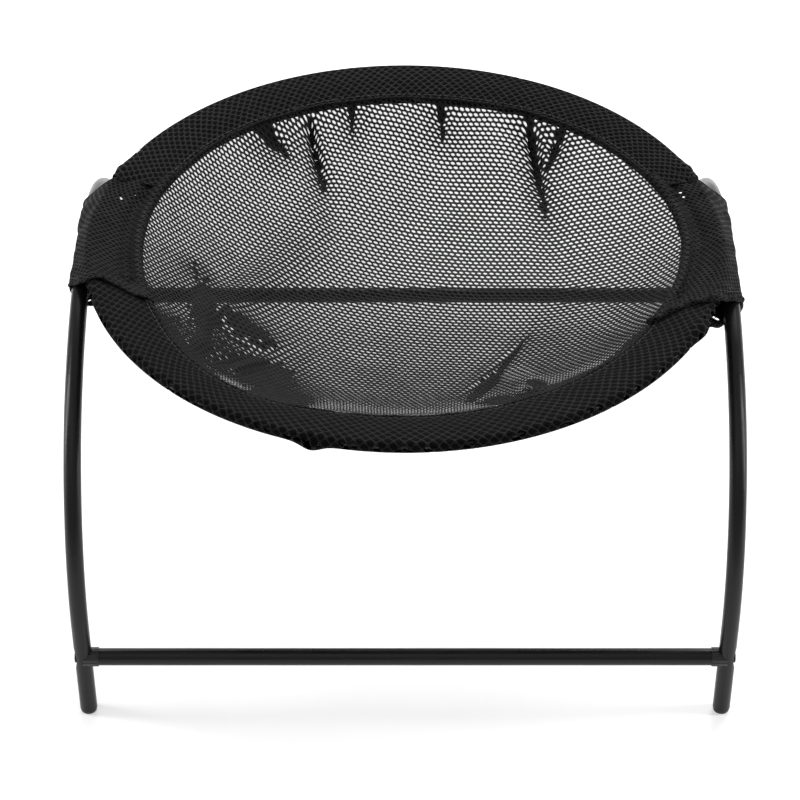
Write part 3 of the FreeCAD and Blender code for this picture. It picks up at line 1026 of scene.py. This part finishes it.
@dataclass
class Basin:
    """One layer of mesh, a wide flat floor that turns up into a steeper wall, gathered at the seam."""

    sizes: HammockSizes
    floor_bend: float = 0.406
    wall_bend: float = 0.2188
    floor_slope: float = math.radians(15.7)
    points_across: int = 191
    cloth_thickness: float = 0.0007
    wave: float = 1.0 * MM
    held_border: float = 14 * MM
    front_cover: float = 0.17
    # Closure along the front seam: gathered cloth and painted shade.
    seam_cover: float = 0.7

    def profile(self, r: Array) -> tuple[Array, Array]:
        """Height and length of cloth at a distance from the middle.

        A circular arc of the floor's bend up to the floor's slope, then one of the wall's bend with
        the same slope where they meet.

        Args:
            r: distances from the middle.

        Returns:
            Heights, and lengths along the cloth from the middle.
        """
        turn_r = self.floor_bend * math.sin(self.floor_slope)
        hub_r = turn_r - self.wall_bend * math.sin(self.floor_slope)
        rise = self.floor_bend * (1 - math.cos(self.floor_slope))
        on_floor = np.minimum(r, turn_r)
        on_wall = np.maximum(r, turn_r)
        floor_turn = np.arcsin(on_floor / self.floor_bend)
        wall_turn = np.arcsin((on_wall - hub_r) / self.wall_bend)
        floor_z = self.floor_bend * (1 - np.cos(floor_turn))
        wall_z = rise + self.wall_bend * (math.cos(self.floor_slope) - np.cos(wall_turn))
        height = self.sizes.floor_z + np.where(r < turn_r, floor_z, wall_z)
        wall_length = self.wall_bend * (wall_turn - self.floor_slope)
        return height, self.floor_bend * floor_turn + wall_length

    def shape(self) -> Shape:
        """Grid of the whole basin.

        A square grid (a, b) from -1 to 1 is drawn to a disc by x = a sqrt(1 - b^2/2) and
        y = b sqrt(1 - a^2/2). The height is the profile's, plus every fold's and a slow wave.

        Returns:
            The surface, with its flat cloth coordinates and closed holes.
        """
        steps = np.linspace(-1, 1, self.points_across)
        b, a = np.meshgrid(steps, steps, indexing="ij")
        edge = self.sizes.seam_radius
        x, y = a * np.sqrt(1 - b * b / 2) * edge, b * np.sqrt(1 - a * a / 2) * edge
        r = np.hypot(x, y)
        height, length = self.profile(r)
        pulled = 1 + (self.sizes.seam_at(np.arctan2(y, x)) / edge - 1) * smooth(r / edge)
        held = smooth((edge - r) / self.held_border)
        closure = np.zeros_like(x)
        raised = np.zeros_like(x)
        for fold in REAR_FOLDS + FRONT_FOLDS:
            raised += fold.height(x, y) * (0.15 + 0.85 * held)
            closure = np.maximum(closure, fold.covered(x, y))
        for patch in DOUBLED_CLOTH:
            closure = np.maximum(closure, patch.covered(x, y))
        for gap in OPEN_CLOTH:
            closure = closure - gap.covered(x, y)
        slow = ripple(x + 0.4 * y, 0.07, 1.0) * ripple(y - 0.3 * x, 0.09, 2.0)
        height += self.wave * slow * held + raised
        closure += 0.1 * slow + self.front_cover * smooth((70 * MM - y) / (170 * MM))
        # Gathered cloth and painted shade along the front seam: closes holes and darkens the yarn.
        at_seam = smooth((r - edge + 13 * MM) / (9 * MM))
        closure += self.seam_cover * at_seam * smooth((-y - 60 * MM) / (50 * MM))
        scale = length / np.maximum(r, 1e-9)
        cloth = np.stack((x * scale + 0.3 * raised, y * scale - 0.5 * raised), axis=-1)
        points = np.stack((x * pulled, y * pulled, height), axis=-1)
        return sheet_of(points, cloth, np.clip(closure, 0, 1))

    def build(self) -> bpy.types.Object:
        """Returns:
            The basin's piece.
        """
        piece = self.shape().make("basin_cloth")
        thicken(piece, self.cloth_thickness)
        BASIN_MESH.put_on(piece, "basin_mesh")
        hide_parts("mesh_basin")
        return piece


# ---- rims ------------------------------------------------------------------------------------
class End(Enum):
    """The two ends of the bed."""

    FRONT = -1
    REAR = 1


@dataclass
class Rim:
    """Half of the folded rim: a strip of mesh laid round the hoop, its two edges sewn at the seam."""

    sizes: HammockSizes
    end: End
    finish: MeshCloth
    left_hem: float
    right_hem: float
    inner_left_hem: float = 0.088
    inner_right_hem: float = 0.088
    ruffle_left: float = 0.8 * MM
    ruffle_right: float = 0.8 * MM
    flare_left: float = 0.0
    flare_right: float = 0.0
    flare_depth: float = 0.1
    bulge_x: float = 0.0
    bulge: float = 0.0
    rows: int = 340
    columns: int = 64
    layer: float = 0.0011
    seam_round: float = 0.0010
    puff: float = 1.2 * MM
    end_hug: float = 0.85 * MM
    ripple_depth: float = 0.45 * MM
    outer_opening: float = 0.24
    points: Array = field(init=False)
    strip: tuple[float, float] = field(init=False)

    @property
    def name(self) -> str:
        """The end's name in words."""
        return self.end.name.lower()

    @property
    def width(self) -> float:
        """Distance between the hoop's centre line and the seam, seen from above."""
        return self.sizes.ring_radius - self.sizes.seam_radius - self.seam_round

    @property
    def roll(self) -> float:
        """Radius of the cloth's bend round the hoop."""
        return self.sizes.hoop_radius + self.layer / 2 + 1.0 * MM

    def ruffles(self, outward: Array, from_right: Array, from_left: Array) -> Array:
        """How far the loose ends stand out: waves that fade away from each mouth.

        Args:
            outward: distance outward from the hoop's centre line.
            from_right: length along the hoop from the right mouth.
            from_left: length along the hoop from the left mouth.

        Returns:
            Distances along the normal.
        """
        loose = 0.3 + 0.7 * smooth(1.2 * outward / self.width + 1.1)
        total = np.zeros_like(from_right)
        ends = ((from_right, self.ruffle_right, 0.4), (from_left, self.ruffle_left, 2.2))
        for distance, ruffle, seed in ends:
            waves = 0.9 + ripple(distance + 0.6 * outward, 0.013, seed)
            waves += 0.6 * ripple(outward + 0.2 * distance, 0.016, seed)
            total += ruffle * bell(distance / (17 * MM)) * waves * loose
        return total

    def swellings(self, x: Array, depth: Array, outward: Array, up: Array) -> Array:
        """How far the strip stands out where it flares beside the sleeves and where it bulges below.

        Args:
            x: places across the bed.
            depth: distances from the line between the arches' crowns.
            outward: distance outward from the hoop's centre line.
            up: height above the hoop's centre line.

        Returns:
            Distances along the normal.
        """
        total = np.zeros_like(x)
        for side_x, amount in ((x, self.flare_right), (-x, self.flare_left)):
            beside = np.where(side_x > 0, bell((depth - self.flare_depth) / (11 * MM)), 0.0)
            total += amount * beside * smooth(1 + (outward - self.roll) / (16 * MM))
        under = bell((outward + 2 * MM) / (8 * MM)) * np.where(up < 1 * MM, 1.0, 0.1)
        return total + self.bulge * bell((x - self.bulge_x) / (9.5 * MM)) * under

    def shape(self) -> Shape:
        """Grid of the strip: rows along the hoop, columns from the seam over the hoop and back.

        The section is a belt round the hoop and the seam. It is carried round the ring from hem to
        hem, and moved along its normal by the puff, by a slow ripple and by ruffles at the ends.

        Returns:
            The strip's surface.
        """
        sizes, width, side = self.sizes, self.width, self.end.value
        drop = sizes.ring_z - sizes.seam_z
        loops = belt(np.array([[[-width, -drop], [0.0, 0.0]]]), (self.seam_round, self.roll), self.columns)
        loop, normal = loops[0], section_normals(loops)[0]
        outward, up = loop[:, 0], loop[:, 1]
        inward = np.clip(-outward / width, 0, 1)
        radius = sizes.ring_radius + outward
        at_hoop = smooth(1 + (outward - self.roll) / (9 * MM))
        right_y = self.inner_right_hem + (self.right_hem - self.inner_right_hem) * at_hoop
        left_y = self.inner_left_hem + (self.left_hem - self.inner_left_hem) * at_hoop
        start = np.arcsin(np.clip(right_y / radius, 0, 1))
        stop = math.pi - np.arcsin(np.clip(left_y / radius, 0, 1))
        share = np.linspace(0, 1, self.rows)[:, None]
        azimuth = side * (start + (stop - start) * share)
        radius = radius + (sizes.seam_at(azimuth) - sizes.seam_radius) * inward
        round_length = azimuth * sizes.ring_radius
        flat = np.sin(np.pi * inward)
        from_right = (azimuth * side - start) * sizes.ring_radius
        from_left = (stop - azimuth * side) * sizes.ring_radius
        from_end = np.minimum(from_right, from_left)
        puffed = self.puff * flat * np.where(normal[:, 1] > 0, 1.0, 0.6)
        move = puffed * smooth((from_end - 6 * MM) / (24 * MM))
        move -= self.end_hug * (1 - inward) * bell(from_end / (5 * MM))
        move += self.ripple_depth * flat * ripple(round_length, 0.055, 1.7 + side)
        move += self.ruffles(outward, from_right, from_left)
        depth = np.abs(radius * np.sin(azimuth))
        move += self.swellings(radius * np.cos(azimuth), depth, outward, up)
        z = sizes.ring_z + up + move * normal[:, 1]
        self.points = on_ring(radius + move * normal[:, 0], azimuth, z)
        length = lengths_along(loop)
        cloth = np.stack(np.broadcast_arrays(round_length, length), axis=-1)
        outermost = bell((length - length[-1] / 2) / (3.6 * MM))
        closure = np.broadcast_to(1.0 - self.outer_opening * outermost, radius.shape)
        self.strip = (float(length[-1]), float(np.ptp(azimuth) * (sizes.seam_radius + width / 2)))
        return sheet_of(self.points, cloth, closure)

    def hem(self, row: int, side: str) -> bpy.types.Object:
        """Rolled hem round the open mouth at one end of the strip.

        Args:
            row: the strip's first or last row, 0 or -1.
            side: the side's name in words.

        Returns:
            The hem's piece.
        """
        path = self.points[row]
        sides = 12
        length = np.linspace(0, 1, len(path))[:, None]
        turn = np.linspace(0, TURN, sides, endpoint=False)[None]
        radius = 1.0 * MM + 0.12 * MM * np.sin(2 * turn + 40 * length)
        ahead = self.points[1] - self.points[0] if row == 0 else self.points[-1] - self.points[-2]
        reference = unit(ahead.mean(axis=0))
        piece = tube_along(path, radius, sides, tuple(reference)).make(f"{self.name}_rim_{side}_hem")
        return HEM_MESH.put_on(piece, "rim_mesh")

    def build(self) -> list[bpy.types.Object]:
        """Returns:
            The rim's pieces.
        """
        piece = self.shape().make(f"{self.name}_rim_cloth")
        thicken(piece, self.layer)
        hems = [self.hem(0, "right"), self.hem(-1, "left")]
        self.finish.put_on(piece, "rim_mesh")
        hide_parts(f"{self.name}_rim")
        f"{self.name}_hoop"
        return [piece, *hems]


# ---- sleeves ---------------------------------------------------------------------------------
class Side(Enum):
    """The two sides of the bed."""

    LEFT = -1
    RIGHT = 1


@dataclass
class Sleeve:
    """Mesh sleeve sewn at the seam that wraps the hoop and the crown of one arch."""

    sizes: HammockSizes
    side: Side
    front_hem: tuple[tuple[float, float], ...]
    roll: float
    roll_ruffle: float
    layer: float = 0.0012
    stations: int = 60
    rows: int = 110
    columns: int = 130
    rear_limit: float = 98 * MM
    hem_lift: float = 1.3 * MM
    hem_wave: float = 0.9 * MM
    valley_depth: float = 3.2 * MM
    ridge_height: float = 1.6 * MM
    points: Array = field(init=False)
    patch: tuple[float, float] = field(init=False)
    area: float = field(init=False)

    @property
    def name(self) -> str:
        """The side's name in words."""
        return self.side.name.lower()

    def azimuth(self, y: Array) -> Array:
        """Azimuth of the seam beside a depth y."""
        return np.arctan2(y, self.side.value * np.sqrt(self.sizes.seam_radius**2 - y**2))

    def sections(self, y: Array) -> Array:
        """Outline of the sleeve at each depth y: a belt round the seam, the tube and the hoop.

        Args:
            y: depths.

        Returns:
            Points (outward, up) for each depth.
        """
        sizes = self.sizes
        radius = sizes.seam_at(self.azimuth(y)) + 1.5 * MM
        seam = np.sqrt(radius**2 - y**2)
        drop = sizes.crown_bend - np.sqrt(sizes.crown_bend**2 - y**2)
        hoop = np.sqrt(sizes.ring_radius**2 - y**2)
        centres = np.stack((
            np.stack((seam, np.full_like(y, sizes.seam_z)), axis=-1),
            np.stack((np.full_like(y, sizes.crown_x - 0.3 * MM), sizes.crown_z - drop), axis=-1),
            np.stack((hoop, np.full_like(y, sizes.ring_z)), axis=-1),
        ), axis=1)
        radii = (2.6 * MM, sizes.tube_radius + 1.2 * MM, sizes.hoop_radius + 2.6 * MM)
        return belt(centres, radii, self.columns)

    def moved(self, around: Array, y: Array, from_front: Array, length: Array) -> Array:
        """How far the cloth stands out: wrinkles, a ridge at the seam and a valley beside it.

        Args:
            around: share of the way round the sleeve, 0 at the seam on top and 1 at the seam below.
            y: depths.
            from_front: distances from the front hem.
            length: lengths round the sleeve from the seam.

        Returns:
            Distances along the normal.
        """
        seed = 1.3 * self.side.value
        span = smooth(np.sin(np.pi * around) * 1.6)
        wrinkle = 0.55 * MM * span * ripple(length + 0.35 * y, 0.034, seed)
        wrinkle += 0.35 * MM * span * ripple(y - 0.2 * length, 0.021, 2.0 + seed)
        hollow = 1.6 * MM * bell((around - 0.23) / 0.09)
        valley = self.valley_depth * bell((length - 14 * MM) / (5.5 * MM))
        ridge = self.ridge_height * bell((length - 5.5 * MM) / (4 * MM))
        near_hem = bell(from_front / (17 * MM))
        move = wrinkle + (ridge - hollow - valley) * (1 - near_hem)
        move += self.hem_lift * near_hem * (around < 0.5)
        return move + self.hem_wave * bell(from_front / (7 * MM)) * ripple(length, 0.017, seed)

    def closed(self, around: Array, y: Array, length: Array) -> Array:
        """How far the holes are closed: all but a few on top, and past fully closed in a band beside the
        seam, where shade is painted.

        Args:
            around: share of the way round the sleeve.
            y: depths.
            length: lengths round the sleeve from the seam.

        Returns:
            The closure at each point.
        """
        specks = 0.36 * bell((y - 64 * MM) / (9 * MM)) * bell((length - 13 * MM) / (6 * MM))
        specks += 0.28 * bell((y - 57 * MM) / (6 * MM)) * bell((length - 30 * MM) / (3 * MM))
        # Painted shade: a band beside the seam, in the valley, pushes the closure past 1 so that the yarn
        # darkens.
        beside_seam = bell((length - 9 * MM) / (6 * MM))
        shaded = 0.75 * beside_seam * (1 - bell((y - 64 * MM) / (12 * MM)))
        return np.where(around < 0.5, 1.0, 0.8) - specks + shaded

    def shape(self) -> Shape:
        """Grid of the sleeve: rows from front hem to rear hem, columns from the seam round and back.

        Each column's hems lie further out near the seam than at the tube. Outlines at even depths
        are read at each column's own depths, then moved along their normals.

        Returns:
            The sleeve's surface.
        """
        _, tube_high = box_of(f"{self.name}_sleeve")
        hem_places, hem_depths = np.array(self.front_hem).T * MM
        depths = np.linspace(hem_depths.min() - 2 * MM, self.rear_limit, self.stations)
        outlines = self.sections(depths)
        around = np.linspace(0, 1, self.columns)
        near_seam = smooth((np.abs(around - 0.5) - 0.17) / 0.3)
        at_hem = outlines[np.abs(depths - hem_depths.mean()).argmin(), :, 0]
        front = np.interp(at_hem, hem_places, hem_depths) + np.where(around > 0.5, 1.5 * MM, 0.0)
        front = np.convolve(np.pad(front, 3, mode="edge"), np.full(7, 1 / 7), mode="valid")
        rear = tube_high[1] - 4 * MM + 15 * MM * near_seam
        y = front + (rear - front) * np.linspace(0, 1, self.rows)[:, None]
        section = np.stack([[np.interp(y[:, column], depths, outlines[:, column, axis]) for axis in (0, 1)]
                            for column in range(self.columns)]).transpose(2, 0, 1)
        length = lengths_along(section)
        move = self.moved(around, y, y - front, length)[..., None]
        section = section + move * section_normals(section)
        flip = self.side.value
        self.points = np.stack((flip * section[..., 0], y, section[..., 1]), axis=-1)
        cloth = np.stack((flip * length, y), axis=-1)
        surface = sheet_of(self.points, cloth, self.closed(around, y, length))
        if self.side is Side.RIGHT:
            surface.faces = surface.faces[:, ::-1]
        self.patch = (float(length.max()), float(np.ptp(y)))
        self.area = float(length[:, -1].mean() * (rear - front).mean())
        return surface

    def hem(self, row: int, radius: float, ruffle: float) -> Shape:
        """Rolled hem along one edge of the sleeve.

        Args:
            row: which row of the sleeve's grid it follows.
            radius: of the roll.
            ruffle: how far its radius varies.

        Returns:
            A closed tube along the edge.
        """
        path = self.points[row]
        length = lengths_along(path)[:, None]
        turn = np.linspace(0, TURN, 14, endpoint=False)[None]
        twist = np.sin(3 * turn + length / (2.6 * MM)) + ripple(length, 0.02, 1.0)
        return tube_along(path, radius + ruffle * twist, 14, (0.0, 1.0, 0.0))

    def build(self) -> list[bpy.types.Object]:
        """Returns:
            The sleeve's pieces.
        """
        piece = self.shape().make(f"{self.name}_sleeve_cloth")
        thicken(piece, self.layer)
        SLEEVE_MESH.put_on(piece, "rim_mesh")
        front_hem = self.hem(0, self.roll, self.roll_ruffle).make(f"{self.name}_sleeve_front_hem")
        rear_hem = self.hem(-1, 1.0 * MM, 0.1 * MM).make(f"{self.name}_sleeve_rear_hem")
        for part in (front_hem, rear_hem):
            HEM_MESH.put_on(part, "rim_mesh")
        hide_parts(f"{self.name}_sleeve")
        f"{self.name}_arch"
        return [piece, front_hem, rear_hem]


# ---- seam ------------------------------------------------------------------------------------
@dataclass
class Seam:
    """What holds basin and rim together: the rolled allowance, the tape below and the stitches."""

    sizes: HammockSizes
    roll: float = 1.5 * MM
    tape_width: float = 9.4 * MM
    tape_curl: float = 1.8 * MM
    tape_thickness: float = 0.6 * MM
    stitch_pitch: float = 4.2 * MM
    stitch_length: float = 3.2 * MM
    stitch_lift: float = 0.55 * MM
    thread_radius: float = 0.32 * MM

    def allowance(self) -> bpy.types.Object:
        """Rolled seam allowance, a ring with an uneven radius that is thicker under the sleeves.

        Returns:
            The allowance's piece.
        """
        azimuth = np.linspace(0, TURN, 721)
        radius = self.sizes.seam_at(azimuth)
        wander = 0.3 * MM * np.sin(17 * azimuth) + 0.2 * MM * np.sin(41 * azimuth + 1)
        at_side = smooth((np.abs(np.cos(azimuth)) - 0.91) / 0.07)
        ring = radius + 0.4 * MM + wander + 2.4 * MM * at_side
        z = self.sizes.seam_z + 0.9 * MM + 0.25 * MM * np.sin(23 * azimuth + 2) + 0.8 * MM * at_side
        size = self.roll * (0.8 + 1.6 * at_side + 0.12 * np.sin(57 * azimuth))
        sides = 12
        sizes_round = np.repeat(size[:, None], sides, axis=1)
        tube = tube_along(on_ring(ring, azimuth, z), sizes_round, sides, (0.0, 0.0, 1.0))
        return HEM_MESH.put_on(tube.make("seam_allowance"), "rim_mesh")

    def tape(self, rim: Rim) -> bpy.types.Object:
        """Woven binding tape under the seam beside one rim.

        Args:
            rim: the rim whose azimuths it shares.

        Returns:
            The tape's piece, a flat strip that dips slightly between stitches.
        """
        middle = rim.points[:, 0]
        angles = np.unwrap(np.arctan2(middle[:, 1], middle[:, 0]))
        azimuth = angles[0] + (angles[-1] - angles[0]) * np.linspace(0, 1, 400)[:, None]
        across = np.linspace(0, self.tape_width, 17)[None]
        radius = self.sizes.seam_at(azimuth) + 0.4 * MM + across
        below = self.sizes.seam_z - self.sizes.cloth_thickness - 1.4 * MM
        dip = 0.15 * MM * np.sin(azimuth * self.sizes.seam_radius / self.stitch_pitch * TURN)
        from_middle = np.abs(2 * across / self.tape_width - 1)
        curl = self.tape_curl * from_middle**4
        z = below + dip * (1 - from_middle) - curl
        cloth = np.stack(np.broadcast_arrays(azimuth * self.sizes.seam_radius, across), axis=-1)
        strip = sheet_of(on_ring(radius, azimuth, z), cloth, np.zeros(z.shape))
        piece = strip.make(f"{rim.name}_seam_tape_cloth")
        thicken(piece, self.tape_thickness)
        SEAM_TAPE.put_on(piece, "binding_tape")
        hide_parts(f"{rim.name}_seam_tape")
        f"{rim.name}_rim_cloth"
        return piece

    def stitches(self, name: str, path: Array, normal: Array) -> bpy.types.Object:
        """Row of thread stitches along a path on the cloth.

        Each stitch is a stretched ball: (L/2 cos p, r sin p cos t, r sin p sin t) along the path's
        direction, the cloth's normal and the direction across both.

        Args:
            name: the piece's name.
            path: points on the cloth's surface.
            normal: the cloth's normal at those points.

        Returns:
            The row's piece.
        """
        length = lengths_along(path)
        places = np.arange(self.stitch_pitch, length[-1] - self.stitch_pitch, self.stitch_pitch)

        def read(values: Array, at: Array) -> Array:
            """Values along the path, read at lengths from its start."""
            return np.stack([np.interp(at, length, values[:, axis]) for axis in range(3)], axis=-1)

        centre, up = read(path, places), read(normal, places)
        ahead = unit(read(path, places + 0.5 * MM) - read(path, places - 0.5 * MM))
        up = unit(up - (up * ahead).sum(axis=1, keepdims=True) * ahead)
        side = np.cross(up, ahead)
        sides, rings = 6, 5
        polar = np.linspace(0, math.pi, rings + 2)[1:-1]
        turn = np.linspace(0, TURN, sides, endpoint=False)
        p, t = np.meshgrid(polar, turn, indexing="ij")
        body = np.stack((self.stitch_length / 2 * np.cos(p), self.thread_radius * np.sin(p) * np.cos(t),
                         self.thread_radius * np.sin(p) * np.sin(t)), axis=-1).reshape(-1, 3)
        tips = np.array([[self.stitch_length / 2, 0, 0], [-self.stitch_length / 2, 0, 0]])
        stitch = np.concatenate((body, tips))
        axes = np.stack((ahead, up, side), axis=1)
        points = centre[:, None] + np.einsum("pk,nkd->npd", stitch, axes)
        ring = np.arange(sides)
        after = (ring + 1) % sides
        first = np.full(sides, len(body))
        end_start = (rings - 1) * sides
        quads = grid_quads(rings, sides, closed=True)[:, ::-1]
        caps = np.concatenate((np.stack((ring, after, first), axis=-1),
                               np.stack((end_start + after, end_start + ring, first + 1), axis=-1)))
        offset = (np.arange(len(places)) * len(stitch))[:, None, None]
        faces = mixed_faces((quads[None] + offset).reshape(-1, 4), (caps[None] + offset).reshape(-1, 3))
        cloth = np.broadcast_to(stitch[:, :2], (len(places), len(stitch), 2)) + places[:, None, None]
        piece = Shape(points, faces, cloth, np.ones(points.shape[:2])).make(name)
        return SEWING_THREAD.put_on(piece, "binding_tape")

    def build(self, rims: Sequence[Rim], sleeves: Sequence[Sleeve]) -> list[bpy.types.Object]:
        """Make the allowance, the tapes, and the stitches on rims and sleeves.

        Args:
            rims: the two rims, already built.
            sleeves: the two sleeves, already built.

        Returns:
            The seam's pieces.
        """
        pieces = [self.allowance()]
        for rim in rims:
            pieces.append(self.tape(rim))
            column = 3
            normal = grid_normals(rim.points)[:, column]
            outward = normal * np.sign(normal[:, 2:3])
            path = rim.points[:, column] + self.stitch_lift * outward
            pieces.append(self.stitches(f"{rim.name}_rim_stitches", path, outward))
        for sleeve in sleeves:
            row = 5
            normal = grid_normals(sleeve.points)[row]
            middle = sleeve.points.mean(axis=(0, 1))
            away = ((sleeve.points[row] - middle) * normal).sum(axis=-1, keepdims=True)
            outward = normal * np.sign(away)
            path = sleeve.points[row] + self.stitch_lift * outward
            pieces.append(self.stitches(f"{sleeve.name}_sleeve_stitches", path, outward))
        return pieces


# ---- frame -----------------------------------------------------------------------------------
class FrameFinish(Enum):
    """Finish of each material slot whose CAD nodes stay as they are."""

    frame_tube = POWDER_COAT
    black_plastic = MOULDED_PLASTIC
    insert_brass = THREADED_BRASS
    bolt_steel = BLACK_OXIDE
    hoop_steel = COATED_ROD


@dataclass
class TubeFrame:
    """The bolted tube frame and the hoop, kept as the CAD nodes with their own finishes."""

    def build(self) -> list[str]:
        """Dress every CAD node of the frame.

        Returns:
            The names of the dressed nodes.
        """
        dressed = []
        for part in frame["record"]["subparts"]:
            slot = part["material_slot"]
            if slot in FrameFinish.__members__:
                FrameFinish[slot].value.dress_node(part["node"])
                dressed.append(part["node"])
        return dressed


# ---- studio ----------------------------------------------------------------------------------
@dataclass(frozen=True)
class SoftBox:
    """A rectangular area light that points at a place."""

    name: str
    place: tuple[float, float, float]
    target: tuple[float, float, float]
    size: tuple[float, float]
    power: float


@dataclass
class Studio:
    """Plain pale floor, soft lights and the camera."""

    floor_side: float = 14.0
    camera_place: tuple[float, float, float] = (-0.0038, -1.8313, 1.6214)
    camera_tilt: float = 50.65
    lens: float = 135.0
    world_level: float = 0.38
    boxes: tuple[SoftBox, ...] = (
        SoftBox("key_light", (-0.6, -1.6, 2.8), (0.0, 0.0, 0.1), (2.6, 1.8), 6.0),
        SoftBox("rear_light", (0.4, 2.4, 2.2), (0.0, 0.0, 0.1), (3.0, 1.6), 90.0),
        SoftBox("left_light", (-2.6, 0.2, 1.3), (0.0, 0.0, 0.15), (0.7, 2.2), 42.0),
        SoftBox("right_light", (2.6, -0.2, 1.3), (0.0, 0.0, 0.15), (0.7, 2.2), 42.0),
    )

    def floor(self) -> bpy.types.Object:
        """Large flat floor under the feet.

        Returns:
            The floor, linked to the scene.
        """
        half = self.floor_side / 2
        y, x = np.meshgrid((-half, half), (-half, half), indexing="ij")
        points = np.stack((x, y, np.zeros_like(x)), axis=-1)
        piece = sheet_of(points, points[..., :2], np.zeros(x.shape)).make("floor")
        StudioFloor().dress(piece)
        return piece

    def light(self, box: SoftBox) -> None:
        """Place one area light.

        Args:
            box: its place, target, size and power.
        """
        lamp = bpy.data.lights.new(box.name, "AREA")
        lamp.shape = "RECTANGLE"
        lamp.size, lamp.size_y = box.size
        lamp.energy = box.power
        holder = bpy.data.objects.new(box.name, lamp)
        bpy.context.scene.collection.objects.link(holder)
        ahead = np.array(box.target) - np.array(box.place)
        flat = math.hypot(ahead[0], ahead[1])
        holder.location = box.place
        holder.rotation_euler = (math.atan2(flat, -ahead[2]), 0.0, math.atan2(-ahead[0], ahead[1]))

    def camera(self) -> None:
        """Place the camera and make it the scene's."""
        data = bpy.data.cameras.new("camera")
        data.lens = self.lens
        data.sensor_width = 36.0
        holder = bpy.data.objects.new("camera", data)
        holder.location = self.camera_place
        holder.rotation_euler = (math.radians(self.camera_tilt), 0.0, 0.0)
        bpy.context.scene.collection.objects.link(holder)
        bpy.context.scene.camera = holder

    def build(self) -> None:
        """Make the floor, the surroundings, the lights and the camera."""
        self.camera()
        self.floor()
        world = bpy.data.worlds.new("studio")
        world.use_nodes = True
        world.node_tree.nodes["Background"].inputs["Color"].default_value = grey(self.world_level)
        bpy.context.scene.world = world
        bpy.context.scene.view_settings.view_transform = "Standard"
        for box in self.boxes:
            self.light(box)


# ---- the bed ---------------------------------------------------------------------------------
def report(pieces: Sequence[bpy.types.Object]) -> None:
    """Log each piece's name and face count."""
    for piece in pieces:
        log.info("%s: %d faces", piece.name, len(piece.data.polygons))


def main() -> None:
    """Build the studio, the frame's finishes and the hammock, in that order."""
    logging.basicConfig(level=logging.INFO, format="%(message)s")
    Studio().build()
    for name in TubeFrame().build():
        log.info("%s: dressed", name)
    sizes = HammockSizes.from_frame()
    rims = (
        Rim(sizes, End.REAR, REAR_RIM_MESH, left_hem=0.086, right_hem=0.084, inner_left_hem=0.078,
            inner_right_hem=0.076, flare_left=1.4 * MM, flare_right=1.2 * MM, flare_depth=0.094),
        Rim(sizes, End.FRONT, SHADED_FRONT_RIM_MESH, left_hem=0.052, right_hem=0.071, inner_left_hem=0.040,
            inner_right_hem=0.055, ruffle_right=0.9 * MM, flare_right=3.0 * MM, flare_depth=0.106,
            bulge_x=-0.066, bulge=5.5 * MM),
    )
    for rim in rims:
        report(rim.build())
    report([Basin(sizes).build()])
    sleeves = (
        Sleeve(sizes, Side.LEFT, roll=1.1 * MM, roll_ruffle=0.1 * MM, front_hem=(
            (196, -67), (204, -64), (216, -54), (227, -50), (234, -52), (243, -48), (250, -40))),
        Sleeve(sizes, Side.RIGHT, roll=2.4 * MM, roll_ruffle=0.35 * MM, front_hem=(
            (192, -93), (204, -82), (218, -78), (226, -77), (237, -67), (246, -59), (252, -52))),
    )
    for sleeve in sleeves:
        report(sleeve.build())
    report(Seam(sizes).build(rims, sleeves))


if __name__ == "__main__":
    main()
